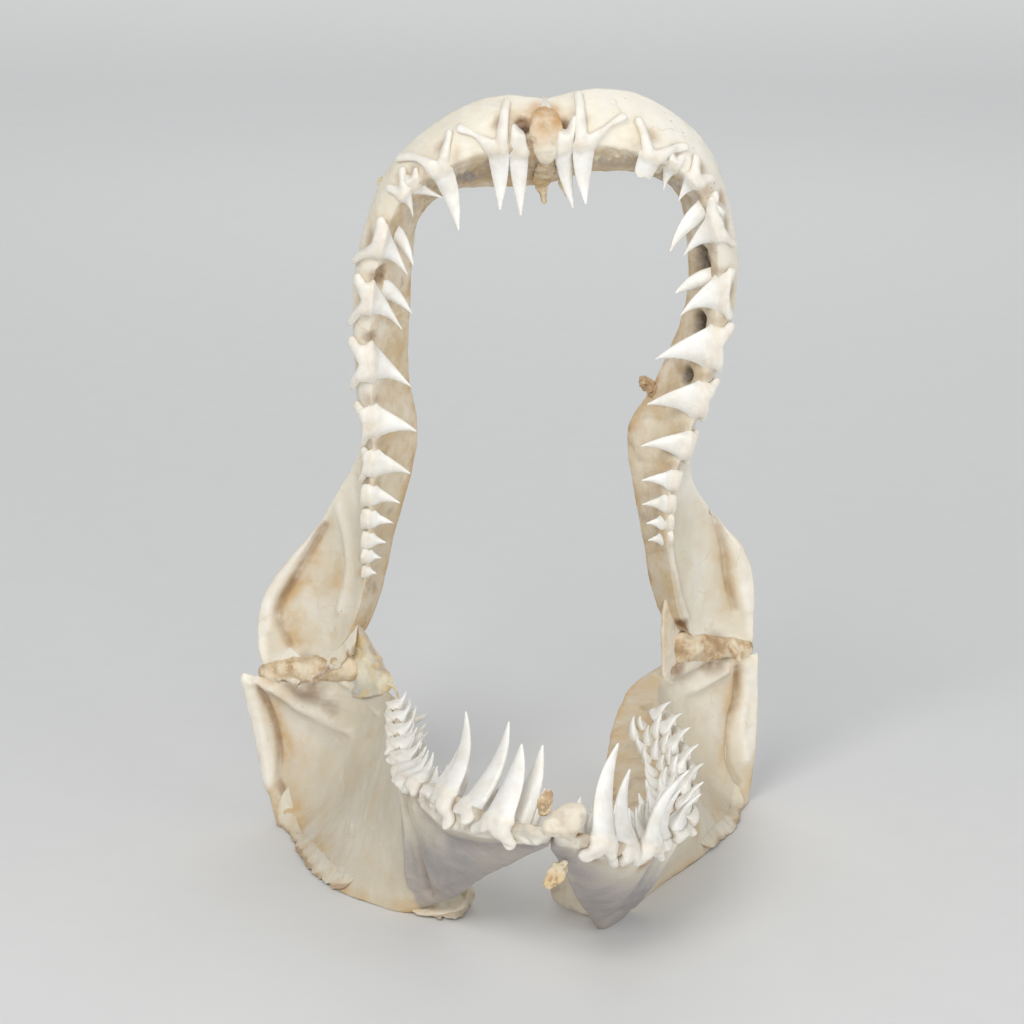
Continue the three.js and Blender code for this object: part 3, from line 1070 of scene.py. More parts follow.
    def cartilage(self, finishes: Finishes) -> Piece:
        """Builds the cartilage as one closed surface with its marks.

        Args:
            finishes: The shared materials.

        Returns:
            The new object.
        """
        length = self.rails.ridge.lengths[-1]
        t = self.rails.ridge.place(np.linspace(0, length, self.rings))
        s = self.rails.sections(t)
        controls, kinds = self.controls(s)
        weights = self.around(len(kinds))
        grid = np.einsum("ak,rkc->rac", weights, controls)
        face, share, side = np.einsum("ak,kc->ca", weights, kinds)
        rings, around = grid.shape[:2]
        tall = np.repeat(s.tall, around)
        skin = Skin(
            grid.reshape(-1, 3),
            *(np.tile(v, rings) for v in (face, share, side)),
            np.repeat(self.rails.ridge.distance(t), around),
            smooth(tall, *self.plate_heights),
            tall,
        )
        normals = self.normals(grid)
        ends = smooth(t, 0, self.smooth_end) * (1 - smooth(t, 1 - self.smooth_end, 1))
        height = self.relief(skin) * np.repeat(ends, around) - self.inset
        points = skin.points + normals * height[:, None]
        points = self.on_floor(points, np.repeat(s.ridge, around, axis=0))
        points[:, 0] = np.clip(points[:, 0], *WIDEST)
        columns = np.arange((len(FACE_SHARES) + 1) * self.samples, self.samples - 1, -1)
        self.face_map = FaceMap(
            self.rails.ridge.distance(t), s.tall, share[columns],
            points.reshape(grid.shape)[:, columns], normals.reshape(grid.shape)[:, columns],
        )
        piece = closed_piece(self.name, points, tube_faces(rings, around), self.marks(skin, normals))
        dress(piece, finishes.cartilage, (self.name,))
        return piece

    def on_floor(self, points: Array, ridge: Array) -> Array:
        """Settles the margin on the floor and draws what lies under it back towards the ridge.

        Args:
            points: The vertices.
            ridge: The ridge's point in each vertex's section.

        Returns:
            The settled vertices.
        """
        points = points.copy()
        points[:, 2] -= self.settle * (1 - smooth(points[:, 2], 0.0, self.settle_height))
        low = np.minimum(points[:, 2], 0.0)
        share = -low / np.maximum(ridge[:, 2] - low, 1.0)
        return points + (ridge - points) * share[:, None]

    def normals(self, grid: Array) -> Array:
        """The outward directions of a grid of rings.

        Args:
            grid: Points of shape (rings, points round a ring, 3).

        Returns:
            One direction for each vertex.
        """
        lengthwise = np.gradient(grid, axis=0)
        crosswise = np.roll(grid, -1, axis=1) - np.roll(grid, 1, axis=1)
        normals = unit(np.cross(crosswise, lengthwise))
        outward = np.sum(normals * (grid - grid.mean(axis=1, keepdims=True)))
        return (normals if outward > 0 else -normals).reshape(-1, 3)

    def marks(self, skin: Skin, normals: Array) -> dict[str, Array]:
        """Where the surface is tanned, pale, greyish or brown, and where shade is painted on it.

        Args:
            skin: The vertices.
            normals: The surface's directions.

        Returns:
            Values for each mark.
        """
        points, face, share, side = skin.points, skin.face, skin.share, skin.side
        patch = 0.5 + 0.5 * fractal(points, 16.0, self.seed + 3)
        back = np.clip(1 - face - side, 0, 1)
        plate = skin.plate * face
        tan = side * (0.35 + 0.6 * patch) + 0.5 * back * patch
        tan += plate * (0.35 * bump(share, 0.8, 0.12) * patch + 0.3 * patch * patch)
        tan += 0.55 * side * smooth(share, 0.75, 1.0)
        tan += 0.5 * face * smooth(share, 0.965, 1.0) * (0.3 + patch)
        lower = self.opening is Opening.LOWER
        rim = plate * smooth(share, 0.88, 0.96)
        high = smooth(points[:, 2], 9.0, 26.0) if lower else 1.0
        pale = rim * high + 0.4 * (1 - skin.plate) * face
        tan += 0.9 * rim * (1 - high) * (0.3 + patch)
        front = self.in_front(skin)
        hollow_face = smooth(share, 0.18, 0.6) * (0.8 + 0.2 * patch)
        # Painted shade: faces that look down turn greyer, and on the lower jaw the hollow front face
        # does, more so towards its lower margin.
        grey = smooth(-normals[:, 2], 0.0, 0.5) * face * (1 - skin.plate) * 0.2
        if lower:
            grey = front * face * hollow_face
            pale = pale * (1 - front) + 0.7 * self.gum(skin)
        torn = side * bump(share, 0.5, 0.4) * self.torn_part(skin)
        grey += 0.45 * torn * patch
        tan += 0.5 * torn
        dull = (0.95 if lower else 0.75) * smooth(skin.plate, 0.0, 0.6) * (0.7 + 0.3 * patch)
        crevice = 0.35 * smooth(fractal(points, 9.0, self.seed + 6), 0.35, 0.75) * side
        for tooth in self.standing():
            drop = share * skin.tall
            notch = bump(skin.along, tooth.along, 0.25 * tooth.width + 0.8)
            # The hollow between each root's lobes is painted tan and brown: partly its own colour, partly
            # painted shade.
            hollow = notch * face * bump(drop, 0.3 * tooth.height + 2.5, 2.6)
            tan += 0.7 * hollow
            crevice += 0.5 * hollow * (0.3 + patch) * (1 if tooth.height > 8 else 0.4)
            if tooth.height > 9:
                gap = bump(skin.along, tooth.along - 0.5 * tooth.width - 1.5, 2.2)
                crevice += 0.35 * gap * (face * bump(drop, 1.0, 3.0) + side * bump(share, 0.1, 0.12))
                tan += 0.6 * gap * face * bump(drop, 2.0, 6.0)
        values = {"tan": tan, "pale": pale, "grey": grey, "crevice": crevice, "dull": dull}
        values |= {"hole": 0 * tan, "rust": 0 * tan}
        for stain in self.stains:
            strength = 1.0 if stain.mark is Mark.HOLE else 0.5 + 0.8 * patch
            values[stain.mark.value] = values[stain.mark.value] + stain.on(points) * strength
        for fold in self.folds:
            if fold.strength:
                bed = fold.on(points) * face * (0.4 + patch)
                values[fold.mark.value] = values[fold.mark.value] + fold.strength * bed
        return values

    def grow_teeth(self, finishes: Finishes) -> list[Piece]:
        """Builds every tooth of this half.

        Args:
            finishes: The shared materials.

        Returns:
            The new objects.
        """
        made = []
        young = [tooth for rows in self.rows for tooth in rows.teeth(self.seed)]
        for number, tooth in enumerate([*self.teeth, *young]):
            builder = ToothShape(self, tooth, self.seed + number)
            made.append(builder.build(f"{self.name}_tooth_{number:02d}", finishes))
        return made


@dataclass
class ToothShape:
    """Works out one tooth's surface and sets it on its jaw."""

    jaw: JawHalf
    tooth: Tooth
    seed: float
    finest: float = 0.40
    coarsest: float = 0.48

    LOBE = {Opening.UPPER: (0.32, 1.75, 0.07), Opening.LOWER: (0.36, 1.8, 0.14)}
    FANG = 1.7  # crowns taller than this many widths are fangs
    TIP = (0.28, 0.5)  # radii of the bluntest small and large tips
    OUTER_POWER, TONGUE_POWER = 1.25, 1.7  # how flat the crown's two sides are
    BOW = 0.11  # how far the crown bends inwards, as a share of its height
    MARGIN = 2.4  # room round the root in the sampled box

    def axes(self) -> tuple[Array, Array, Array, Array]:
        """Works out how the tooth stands.

        Returns:
            The tooth's foot, the ridge's direction, the crown's rise and the outer side's direction.
        """
        rails = self.jaw.rails
        t = rails.ridge.place(np.array([self.tooth.along]))
        s = rails.sections(t)
        tangent = rails.ridge.tangent(t)[0]
        facing, middle = (np.array(v) for v in self.jaw.opening.value)
        open_way = square(facing, tangent)
        inward = square(square(middle - s.ridge[0], tangent), open_way)
        lean = math.radians(self.tooth.lean)
        rise = open_way * math.cos(lean) + inward * math.sin(lean)
        front = np.cross(rise, tangent)
        if front @ s.lingual[0] > 0:
            front = -front
        foot = s.ridge[0] + s.back[0] * self.tooth.set_back
        return foot, tangent, rise, front

    def lobes(self) -> tuple[tuple[float, float], tuple[float, float]]:
        """Works out the size of the root's lobes.

        Returns:
            Reach and drop of the lobe towards the symphysis and of the lobe towards the joint.
        """
        h, w = self.tooth.height, self.tooth.width
        usual = (0.5 * w + 0.4, 0.12 * h + 0.36 * w)
        return self.tooth.mesial or usual, self.tooth.distal or usual

    def thickness(self) -> float:
        """The radius of a lobe where it leaves the root."""
        thin, least, more = self.LOBE[self.jaw.opening]
        return min(thin * self.tooth.width, least + more * self.tooth.width)

    def depth(self) -> float:
        """Half of the crown's thickness at its foot."""
        return 0.75 + (0.15 if self.young() else 0.13) * self.tooth.width

    def young(self) -> bool:
        """Whether the tooth stands behind the working row, where its root isn't seen."""
        return self.tooth.set_back >= YOUNG_FROM

    def field(self, x: Array, y: Array, z: Array) -> Array:
        """The tooth's distance field, negative inside.

        Args:
            x: Distance along the ridge, positive towards the joint.
            y: Distance to the outer side.
            z: Height over the foot.

        Returns:
            One value for each point.
        """
        tooth = self.tooth
        h, w = tooth.height, tooth.width
        half, deep = 0.5 * w, self.depth()
        v = np.clip((h - z) / h, 0.0, 1.0)
        if h > self.FANG * w:
            profile = 0.6 * (1 - (1 - v) ** 1.9) ** 0.85 + 0.4 * v**0.8
        else:
            profile = 0.72 * v**0.9 + 0.28 * v**3
        tip = np.clip(0.1 + 0.022 * h, *self.TIP)
        a = np.hypot(half * profile, tip)
        b = np.hypot(deep * profile**0.85, 0.8 * tip)
        q = (x / a) ** 2 + np.abs(y / b) ** np.where(y > 0, self.OUTER_POWER, self.TONGUE_POWER)
        crown = (q**0.55 - 1) * np.minimum(a, b) * 0.9
        foot = 1.5 if self.young() else 0.04 * h
        crown = crown + np.maximum(z - h + 0.15, 0) + np.maximum(-z - foot, 0)
        if tooth.broken:
            crown = np.maximum(crown, z - tooth.broken + 0.5 * np.sin(1.3 * x + 0.8 * y))
        if self.young():
            return crown
        neck = 0.10 * w + 0.8
        tall = (z + 0.3 * neck) / (0.8 * neck)
        body = np.sqrt((x / (0.46 * w)) ** 2 + (y / (deep * 1.02)) ** 2 + tall**2)
        made = blend_distance(crown, (body - 1) * min(neck, deep) * 0.8, 0.5 + 0.06 * w)
        thick = self.thickness()
        for way, (reach, drop) in zip((-1, 1), self.lobes()):
            start = np.array([way * 0.16 * w, 0.0, -0.25 * neck])
            end = np.array([way * (reach - 0.6 * thick), 0.0, -(drop - 0.6 * thick)])
            step = end - start
            share = (x - start[0]) * step[0] + (z - start[2]) * step[2]
            share = np.clip(share / (step @ step), 0, 1)
            bow = way * 0.1 * abs(end[0]) * np.sin(math.pi * share)
            gap = np.sqrt(
                (x - start[0] - share * step[0] + bow) ** 2
                + (1.15 * y) ** 2
                + (z - start[2] - share * step[2] - abs(bow) * 0.6) ** 2
            )
            made = blend_distance(made, gap - thick * (1 - 0.42 * share), 0.6 + 0.08 * w)
        return made

    def place(self, x: Array, y: Array, z: Array) -> Array:
        """Sets points of the tooth on the jaw: the crown on its own axes, the root on the face.

        Args:
            x: Distance along the ridge.
            y: Distance to the outer side.
            z: Height over the foot, below 0 in the root.

        Returns:
            Points in the station frame.
        """
        foot, tangent, rise, front = self.axes()
        tooth = self.tooth
        sweep = math.radians(tooth.sweep)
        share = np.clip(z / tooth.height, 0, 1.05)
        lean_over = math.sin(sweep) * tooth.height * share**1.25
        tall = np.where(z > 0, z * math.cos(sweep), z)
        bow = -self.BOW * tooth.height * np.sin(math.pi * 0.9 * share)
        crown = (
            foot
            + tangent * (x + lean_over)[:, None]
            + rise * tall[:, None]
            + front * (y + bow)[:, None]
        )
        if self.young():
            return crown
        on_face = self.jaw.face_map.on(tooth.along + x, -z, y + 0.5 * self.thickness())
        mix = smooth(-z, -0.3, 0.16 * tooth.height + 0.5)[:, None]
        return crown * (1 - mix) + on_face * mix

    def build(self, name: str, finishes: Finishes) -> Piece:
        """Makes the tooth's mesh.

        Args:
            name: The object's name.
            finishes: The shared materials.

        Returns:
            The new object.
        """
        tooth = self.tooth
        (reach_m, drop_m), (reach_d, drop_d) = self.lobes()
        step = min(max(0.016 * tooth.height, self.finest), self.coarsest)
        deep, half, room = self.depth() + 1.2, 0.5 * tooth.width, self.MARGIN
        low = np.array([-max(reach_m, half) - room, -deep - 1.0, -max(drop_m, drop_d) - room])
        high = np.array([max(reach_d, half) + room, deep + 1.0, tooth.height + 1.0])
        counts = np.ceil((high - low) / step).astype(int) + 1
        x, y, z = np.meshgrid(*(low[k] + step * np.arange(counts[k]) for k in range(3)), indexing="ij")
        flat, faces = surface_nets(self.field(x, y, z), low, step)
        points = self.place(*flat.T)
        points += 0.06 * fractal(points, 2.5, self.seed)[:, None]
        points[:, 2] = np.maximum(points[:, 2], 0.05)
        arch = 0.5 + 0.05 * tooth.height * (1 - (2 * flat[:, 0] / tooth.width) ** 2)
        enamel = smooth(flat[:, 2] - arch, -0.5, 0.5)
        crevice = 0.25 * bump(flat[:, 2], -0.8, 0.8) * (flat[:, 1] > 0)
        crevice += 0.35 * smooth(np.abs(flat[:, 1]), 0.5 * deep, deep) * smooth(-flat[:, 2], 1.0, 4.0)
        piece = closed_piece(name, points, faces.tolist(), {"enamel": enamel, "crevice": crevice})
        dress(piece, finishes.tooth)
        return piece


@dataclass
class Strap:
    """A flattened band of dried tissue or cartilage with a crumpled surface."""

    name: str
    knots: tuple[Knot, ...]
    across: Spot
    finish: Look
    slot: Slot
    nodes: tuple[str, ...] = ()
    crumple: float = 0.5
    grain: float = 3.0
    tan: float = 0.2
    # How much painted shade darkens the dips of the surface.
    dark: float = 0.2
    rust: float = 0.0  # a rusty stain at the band's first end
    seed: float = 5.0
    rings: int = 80
    around: int = 56

    def build(self, finishes: Finishes) -> Piece:
        """Builds the band.

        Args:
            finishes: The shared materials.

        Returns:
            The new object.
        """
        path = Curve([knot[:3] for knot in self.knots])
        size = Curve([(*knot[3:], 10.0 * i) for i, knot in enumerate(self.knots)])
        t = np.linspace(0, 1, self.rings)
        centre, sizes = path.at(t), size.at(t)
        tangent = path.tangent(t)
        side = square(np.array(self.across), tangent)
        normal = np.cross(side, tangent)
        cap = np.sqrt(np.maximum(1 - np.abs(2 * t - 1) ** 8, 0.0004))
        angle = np.linspace(0, 2 * math.pi, self.around, endpoint=False)
        wide = (sizes[:, 0] * cap)[:, None] * np.cos(angle)[None, :]
        thick = (sizes[:, 1] * cap)[:, None] * np.sin(angle)[None, :]
        grid = centre[:, None] + side[:, None] * wide[..., None] + normal[:, None] * thick[..., None]
        points = grid.reshape(-1, 3)
        spine = np.repeat(centre, self.around, axis=0)
        lumps = fractal(points, self.grain, self.seed)
        points = points + unit(points - spine) * (self.crumple * lumps - 0.1)[:, None]
        points[:, 2] = np.maximum(points[:, 2], 0.0)
        patch = fractal(points, 2.5 * self.grain, self.seed + 3)
        along = np.repeat(t, self.around)
        marks = {
            # Painted shade: the dips of the crumpled surface are darkened.
            "crevice": self.dark * smooth(-lumps, 0.0, 0.5),
            "tan": self.tan * (1 + 1.2 * patch),
            "pale": 0.4 - self.tan + 0.4 * patch,
            "dull": np.full(len(points), 0.35),
            "rust": self.rust * (1 - smooth(along, 0.2, 0.62)),
        }
        piece = closed_piece(self.name, points, tube_faces(self.rings, self.around), marks)
        dress(piece, finishes.of(self.finish), self.nodes)
        return piece


@dataclass
class Sheet:
    """A thin dried sheet that hangs from a held line and ends in a ragged free edge."""

    name: str
    held: tuple[Spot, ...]
    free: tuple[Spot, ...]
    finish: Look
    slot: Slot = Slot.TISSUE
    nodes: tuple[str, ...] = ()
    thick: float = 0.5
    corner: float = 12.0  # how square the free edge's two corners are
    ragged: float = 0.15
    crumple: float = 0.4
    edge: float = 0.5
    tan: float = 0.3
    grey: float = 0.0
    seed: float = 3.0
    rings: int = 110
    around: int = 72

    def build(self, finishes: Finishes) -> Piece:
        """Builds the sheet.

        Args:
            finishes: The shared materials.

        Returns:
            The new object.
        """
        u = np.linspace(0, 1, self.rings)
        held, free = Curve(self.held).at(u), Curve(self.free).at(u)
        reach = 1 + self.ragged * fractal(free, 4.0, self.seed, 4)
        reach *= np.maximum(1 - np.abs(2 * u - 1) ** self.corner, 0.02) ** 0.5
        angle = np.linspace(0, 2 * math.pi, self.around, endpoint=False)
        v = 0.5 - 0.5 * np.cos(angle)
        half = np.sign(np.sin(angle)) * np.abs(np.sin(angle)) ** 0.6 * (0.25 + 0.75 * v)
        ends = np.sqrt(np.maximum(1 - np.abs(2 * u - 1) ** 12, 0.01))
        normal = unit(np.cross(np.gradient(held + free, axis=0), free - held))
        middle = held[:, None] + (free - held)[:, None] * (v[None, :] * reach[:, None])[..., None]
        waves = fractal(middle.reshape(-1, 3), 5.0, self.seed + 2).reshape(middle.shape[:2])
        out = self.thick * half[None, :] * ends[:, None] + self.crumple * waves
        points = (middle + normal[:, None] * out[..., None]).reshape(-1, 3)
        points[:, 2] = np.maximum(points[:, 2], 0.0)
        across = np.tile(v, self.rings)
        patch = fractal(points, 6.0, self.seed + 5)
        marks = {
            "crevice": self.edge * smooth(across + 0.25 * patch, 0.78, 1.0),
            "tan": self.tan * (1 + 1.2 * patch) + 0.4 * smooth(across, 0.6, 0.95),
            "pale": 0.5 - self.tan + 0.5 * patch,
            "grey": self.grey * smooth(patch, -0.3, 0.4),
            "dull": np.full(len(points), 0.4),
        }
        piece = closed_piece(self.name, points, tube_faces(self.rings, self.around), marks)
        dress(piece, finishes.of(self.finish), self.nodes)
        return piece


@dataclass(frozen=True)
class MarginFlap:
    """A ragged dried skin along the margin of a lower half, down to the floor."""

    start: float
    end: float
    width: float = 8.0
    lift: float = 1.3
    droop: float = 4.0
    lowest: float = 0.5
    places: int = 9

    def sheet(self, half: JawHalf) -> Sheet:
        """Lays the skin on a half.

        Args:
            half: The jaw half, with its cartilage built.

        Returns:
            The sheet, not built yet.
        """
        along = np.linspace(self.start, self.end, self.places)
        tall = np.interp(along, half.face_map.distances, half.face_map.talls)
        held = half.face_map.on(along, tall - self.width, np.zeros(self.places))
        free = half.face_map.on(along, tall, np.full(self.places, self.lift))
        free[:, 2] = np.maximum(free[:, 2] - self.droop, self.lowest)
        return Sheet(
            f"{half.name}_margin_flap", tuple(map(tuple, held)), tuple(map(tuple, free)), Look.CARTILAGE,
            thick=0.6, corner=10.0, ragged=0.16, tan=0.45, edge=0.45, seed=half.seed,
        )


@dataclass(frozen=True)
class Lamp:
    """A square soft lamp: where it hangs, its side in metres, its watts, colour and target."""

    name: str
    place: Spot
    size: float
    power: float
    tint: Spot = (1.0, 1.0, 1.0)
    target: Spot = (0.0, 0.0, 0.13)

    def hang(self) -> None:
        """Adds the lamp to the scene."""
        data = bpy.data.lights.new(self.name, "AREA")
        data.size = self.size
        data.energy = self.power
        data.color = self.tint
        lamp = bpy.data.objects.new(self.name, data)
        lamp.location = self.place
        aim = Vector(self.target) - lamp.location
        lamp.rotation_euler = aim.to_track_quat("-Z", "Y").to_euler()
        bpy.context.scene.collection.objects.link(lamp)


@dataclass(frozen=True)
class Studio:
    """Floor, light and camera."""

    middle: Spot = (0.0, 0.0, 115.0)
    distance: float = 1300.0
    turn: float = 6.0
    height: float = 15.0
    lens: float = 126.95
    sensor: float = 36.0
    floor_size: float = 14.0
    lamps: tuple[Lamp, ...] = (
        Lamp("key_light", (-0.7, -1.2, 1.3), 0.8, 14, (1.0, 0.99, 0.97)),
        Lamp("fill_light", (1.2, -1.2, 0.7), 1.2, 8, (0.97, 0.985, 1.0)),
        Lamp("front_light", (0.1, -2.0, 0.45), 0.8, 8),
        Lamp("back_light", (0.2, 1.3, 1.0), 1.2, 2.5),
        Lamp("backdrop_light", (0.4, 3.4, 2.2), 3.0, 34, target=(0.4, 4.2, 0.0)),
    )
    sky: Spot = (0.92, 0.94, 0.97)
    sky_strength: float = 0.44

    def floor(self) -> None:
        """Lays the plain floor, a flat square grid with a faint bump."""
        bpy.ops.mesh.primitive_grid_add(x_subdivisions=40, y_subdivisions=40, size=self.floor_size)
        floor = bpy.context.object
        floor.name = "studio_floor"
        floor.location.z = -0.0002
        floor.data.materials.append(FloorFinish().make())

    def lights(self) -> None:
        """Hangs the soft lamps and sets a pale world."""
        for lamp in self.lamps:
            lamp.hang()
        world = bpy.data.worlds.new("pale_world")
        world.use_nodes = True
        sky = world.node_tree.nodes["Background"]
        sky.inputs["Color"].default_value = (*self.sky, 1.0)
        sky.inputs["Strength"].default_value = self.sky_strength
        bpy.context.scene.world = world

    def camera(self) -> None:
        """Places the camera and looks at the jaws."""
        turn, height = math.radians(self.turn), math.radians(self.height)
        level = Vector((math.sin(turn), math.cos(turn), 0.0))
        ahead = level * math.cos(height) - Vector((0.0, 0.0, math.sin(height)))
        middle = (Vector(self.middle) + Vector(SHIFT)) * MM
        data = bpy.data.cameras.new("camera")
        data.sensor_width = self.sensor
        data.lens = self.lens
        data.clip_start = 0.01
        camera = bpy.data.objects.new("camera", data)
        camera.location = middle - ahead * (self.distance * MM)
        camera.rotation_euler = ahead.to_track_quat("-Z", "Y").to_euler()
        bpy.context.scene.collection.objects.link(camera)
        bpy.context.scene.camera = camera

    def build(self) -> None:
        """Sets up the whole studio."""
        self.floor()
        self.lights()
        self.camera()
        bpy.context.scene.view_settings.view_transform = "Standard"


UPPER_RIGHT = (
    Station((6.6, -54, 255), (6.6, -43, 271), (6.6, -24, 237), 10, 2),
    Station((-11, -52, 255), (-9, -42, 272), (-6, -22, 236), 10, 2.5),
    Station((-28, -47, 248), (-26, -37, 265), (-22, -19, 235), 9, 2.5),
    Station((-41, -41, 238), (-45, -30, 247), (-32, -15, 227), 9, 2),
    Station((-49, -35, 217), (-56, -25, 216), (-35, -10, 211), 8, 1.5),
    Station((-52, -29, 193), (-58, -20, 191), (-36, -6, 189), 8, 1.5),
    Station((-52, -25, 169), (-57, -16, 167), (-36, -2, 165), 7, 1.5),
    Station((-51, -22, 148), (-55, -11, 145), (-33, 0, 146), 7, 0),
    Station((-52, -19, 131), (-62, 0, 126), (-37, 0, 124), 5, -1.5),
    Station((-53, -17, 113), (-73, 5, 106), (-42, 0, 106), 4.5, -4),
    Station((-55, -15, 92), (-89, 8, 84), (-47, -2, 87), 4.5, -6),
    Station((-60, -9, 74), (-92, 7, 67), (-53, -3, 73), 5, -5),
    Station((-67, -3, 62), (-90, 7, 57), (-60, 2, 65), 5, -2),
)
UPPER_LEFT = (
    Station((7.0, -54, 255), (7.0, -43, 271), (7.0, -24, 237), 10, 2),
    Station((22, -52, 256), (23, -42, 274), (24, -22, 241), 10, 2.5),
    Station((41, -47, 251), (43, -37, 270), (42, -19, 240), 9, 2.5),
    Station((58, -41, 241), (66, -30, 250), (55, -15, 233), 9, 2),
    Station((67, -35, 220), (76, -25, 219), (60, -10, 215), 8, 1.5),
    Station((69, -29, 197), (77, -20, 195), (60, -6, 191), 8, 1.5),
    Station((66, -25, 171), (71, -16, 169), (50, -2, 163), 7, 1.5),
    Station((61, -22, 148), (64, -11, 145), (41, 0, 146), 7, 0),
    Station((55, -19, 128), (67, 0, 123), (43, 0, 124), 5, -1.5),
    Station((54, -17, 111), (78, 5, 107), (47, 0, 103), 4.5, -4),
    Station((57, -15, 90), (89, 8, 88), (50, -2, 86), 4.5, -6),
    Station((61, -10, 75), (90, 7, 71), (54, -3, 75), 5, -5),
    Station((67, -3, 65.5), (90, 6, 61), (60, 2, 68.5), 5, -2),
)
LOWER_RIGHT = (
    Station((-6, -181, 60), (-6, -166, 48), (-6, -158, 53), 6, 1),
    Station((-16, -177, 61), (-13, -152, 40), (-11, -152, 46), 7, 3),
    Station((-27, -165, 61), (-23, -134, 27), (-18, -136, 42), 7, 4),
    Station((-37, -142, 61), (-32, -116, 13), (-25, -114, 40), 7, 5),
    Station((-45, -114, 55), (-41, -100, 4), (-32, -94, 36), 6, 3),
    Station((-47, -92, 52), (-54, -89, -1), (-36, -76, 35), 5, -1),
    Station((-47, -70, 53), (-69, -72, -1), (-38, -58, 36), 4.5, -3),
    Station((-46, -48, 55), (-80, -38, -1), (-38, -40, 41), 4.5, -5),
    Station((-46, -30, 56), (-86, -6, -1), (-39, -25, 47), 4.5, -6),
    Station((-51, -14, 56), (-91, 5, 18), (-44, -10, 50), 4.5, -5),
    Station((-64, -5, 56), (-95, 7, 37), (-57, 1, 53), 5, -3),
    Station((-80, 1, 52.5), (-98, 5, 56), (-76, 6, 49), 5, -1),
)
LOWER_LEFT = (
    Station((-5, -181, 60), (-5, -166, 47), (-5, -158, 52), 6, 1),
    Station((6, -177, 56), (2, -150, 33), (4, -148, 43), 7, 3),
    Station((20, -163, 47), (10, -130, 14), (12, -128, 37), 7, 4),
    Station((34, -142, 41), (20, -112, -1), (19, -104, 33), 7, 4),
    Station((46, -114, 39), (40, -80, -1), (24, -84, 33), 6, 2),
    Station((51, -92, 41), (57, -58, -1), (24, -68, 36), 5, -1),
    Station((52, -70, 44), (70, -38, -1), (27, -54, 39), 4.5, -3),
    Station((51, -48, 48), (81, -20, -1), (31, -40, 45), 4.5, -5),
    Station((50, -30, 52), (88, 1, -1), (36, -28, 51), 4.5, -6),
    Station((54, -14, 55), (91, 6, 18), (42, -16, 54), 4.5, -5),
    Station((67, -5, 60), (92, 7, 37), (60, 1, 57), 5, -3),
    Station((80, 1, 56.5), (92, 6, 57), (76, 6, 54), 5, -1),
)

UPPER_RIGHT_TEETH = (
    Tooth(17, 21, 7.5, 8, 84, 2, mesial=(4, 17), distal=(15, 12)),
    Tooth(10, 22, 7, -4, 80, 4, mesial=(2, 7), distal=(2.6, 8)),
    Tooth(38, 21, 8, 14, 72, 2, mesial=(4.5, 12), distal=(14, 13)),
    Tooth(49, 10, 6, -30, 78, 4, mesial=(3, 5), distal=(3, 5)),
    Tooth(54, 9, 6, 35, 80, 0, mesial=(4, 8), distal=(4.5, 7)),
    Tooth(74, 15, 12, 40, 88, 0, mesial=(9, 4), distal=(8, 11)),
    Tooth(69, 13, 7, 40, 60, 8),
    Tooth(95, 16, 13, 45, 88, 0, mesial=(10, 8), distal=(10, 10)),
    Tooth(91, 14, 8, 38, 84, 7),
    Tooth(119, 17, 15, 38, 95, 2, mesial=(10.5, 9), distal=(9.5, 9)),
    Tooth(141, 15, 13, 12, 68, 2, mesial=(8.5, 8.5), distal=(8.5, 6.5)),
    Tooth(157, 13, 11, 8, 70, 2, mesial=(7, 7), distal=(7, 7)),
    Tooth(169, 10, 8, 12, 75, 2),
    Tooth(178, 8, 7, 6, 75, 2),
    Tooth(186, 6, 6, 5, 78, 2),
    Tooth(192, 4.5, 5, 5, 78, 2),
    Tooth(198, 3.5, 4, 5, 78, 2),
)
UPPER_LEFT_TEETH = (
    Tooth(12, 20, 8, 2, 76, 1, mesial=(3, 19), distal=(15, 12)),
    Tooth(5, 21, 6.5, 5, 84, 3, mesial=(2, 7), distal=(5, 10)),
    Tooth(37, 17, 9, 10, 78, 0, mesial=(7, 12), distal=(12, 9), broken=7.5),
    Tooth(46, 9, 6, 18, 86, 3, mesial=(3, 5), distal=(3, 5)),
    Tooth(56, 9, 8, 20, 92, 0, mesial=(5, 8), distal=(5.5, 7)),
    Tooth(76, 15, 12, 32, 92, 0, mesial=(12, 3), distal=(8, 8)),
    Tooth(68, 19, 8, 22, 62, 4),
    Tooth(101, 15, 13, 25, 68, 2, mesial=(10, 6), distal=(10, 6)),
    Tooth(95, 14, 8, 12, 68, 7),
    Tooth(121, 20, 16, 16, 76, 2, mesial=(9.5, 8), distal=(9.5, 6)),
    Tooth(141, 18, 14, 14, 80, 2, mesial=(8.5, 8), distal=(8, 7)),
    Tooth(159, 16, 11, 14, 80, 1, mesial=(7, 6), distal=(7, 6)),
    Tooth(173, 11, 8, 12, 86, 1),
    Tooth(182, 9, 7, 2, 80, 2),
    Tooth(189, 6.5, 6, -3, 80, 3),
    Tooth(195, 5.5, 5, -4, 80, 4),
)
LOWER_RIGHT_TEETH = (
    Tooth(19, 25, 11, -10, 12, 0, mesial=(8.5, 11), distal=(9.5, 8)),
    Tooth(13, 27, 9.5, -6, 20, 7),
    Tooth(8, 14, 5, -12, 16, 9),
    Tooth(50, 27, 11.5, 18, 24, 0, mesial=(10, 12), distal=(7, 8)),
    Tooth(35, 30, 11, 4, 28, 4, mesial=(6, 6), distal=(6, 5)),
    Tooth(62, 16, 9, -5, 32, 4.5),
    Tooth(76, 11, 11, 2, 32, 0),
    Tooth(88, 11, 11, 4, 36, 1),
    Tooth(101, 11, 11, 4, 42, 1.5),
    Tooth(114, 10, 10.5, 0, 42, 2),
    Tooth(127, 9.5, 10, -5, 38, 2.5),
    Tooth(139, 9, 9, -8, 36, 2.5),
    Tooth(150, 8, 8, -8, 34, 2),
    Tooth(160, 7, 7, -4, 30, 1),
)
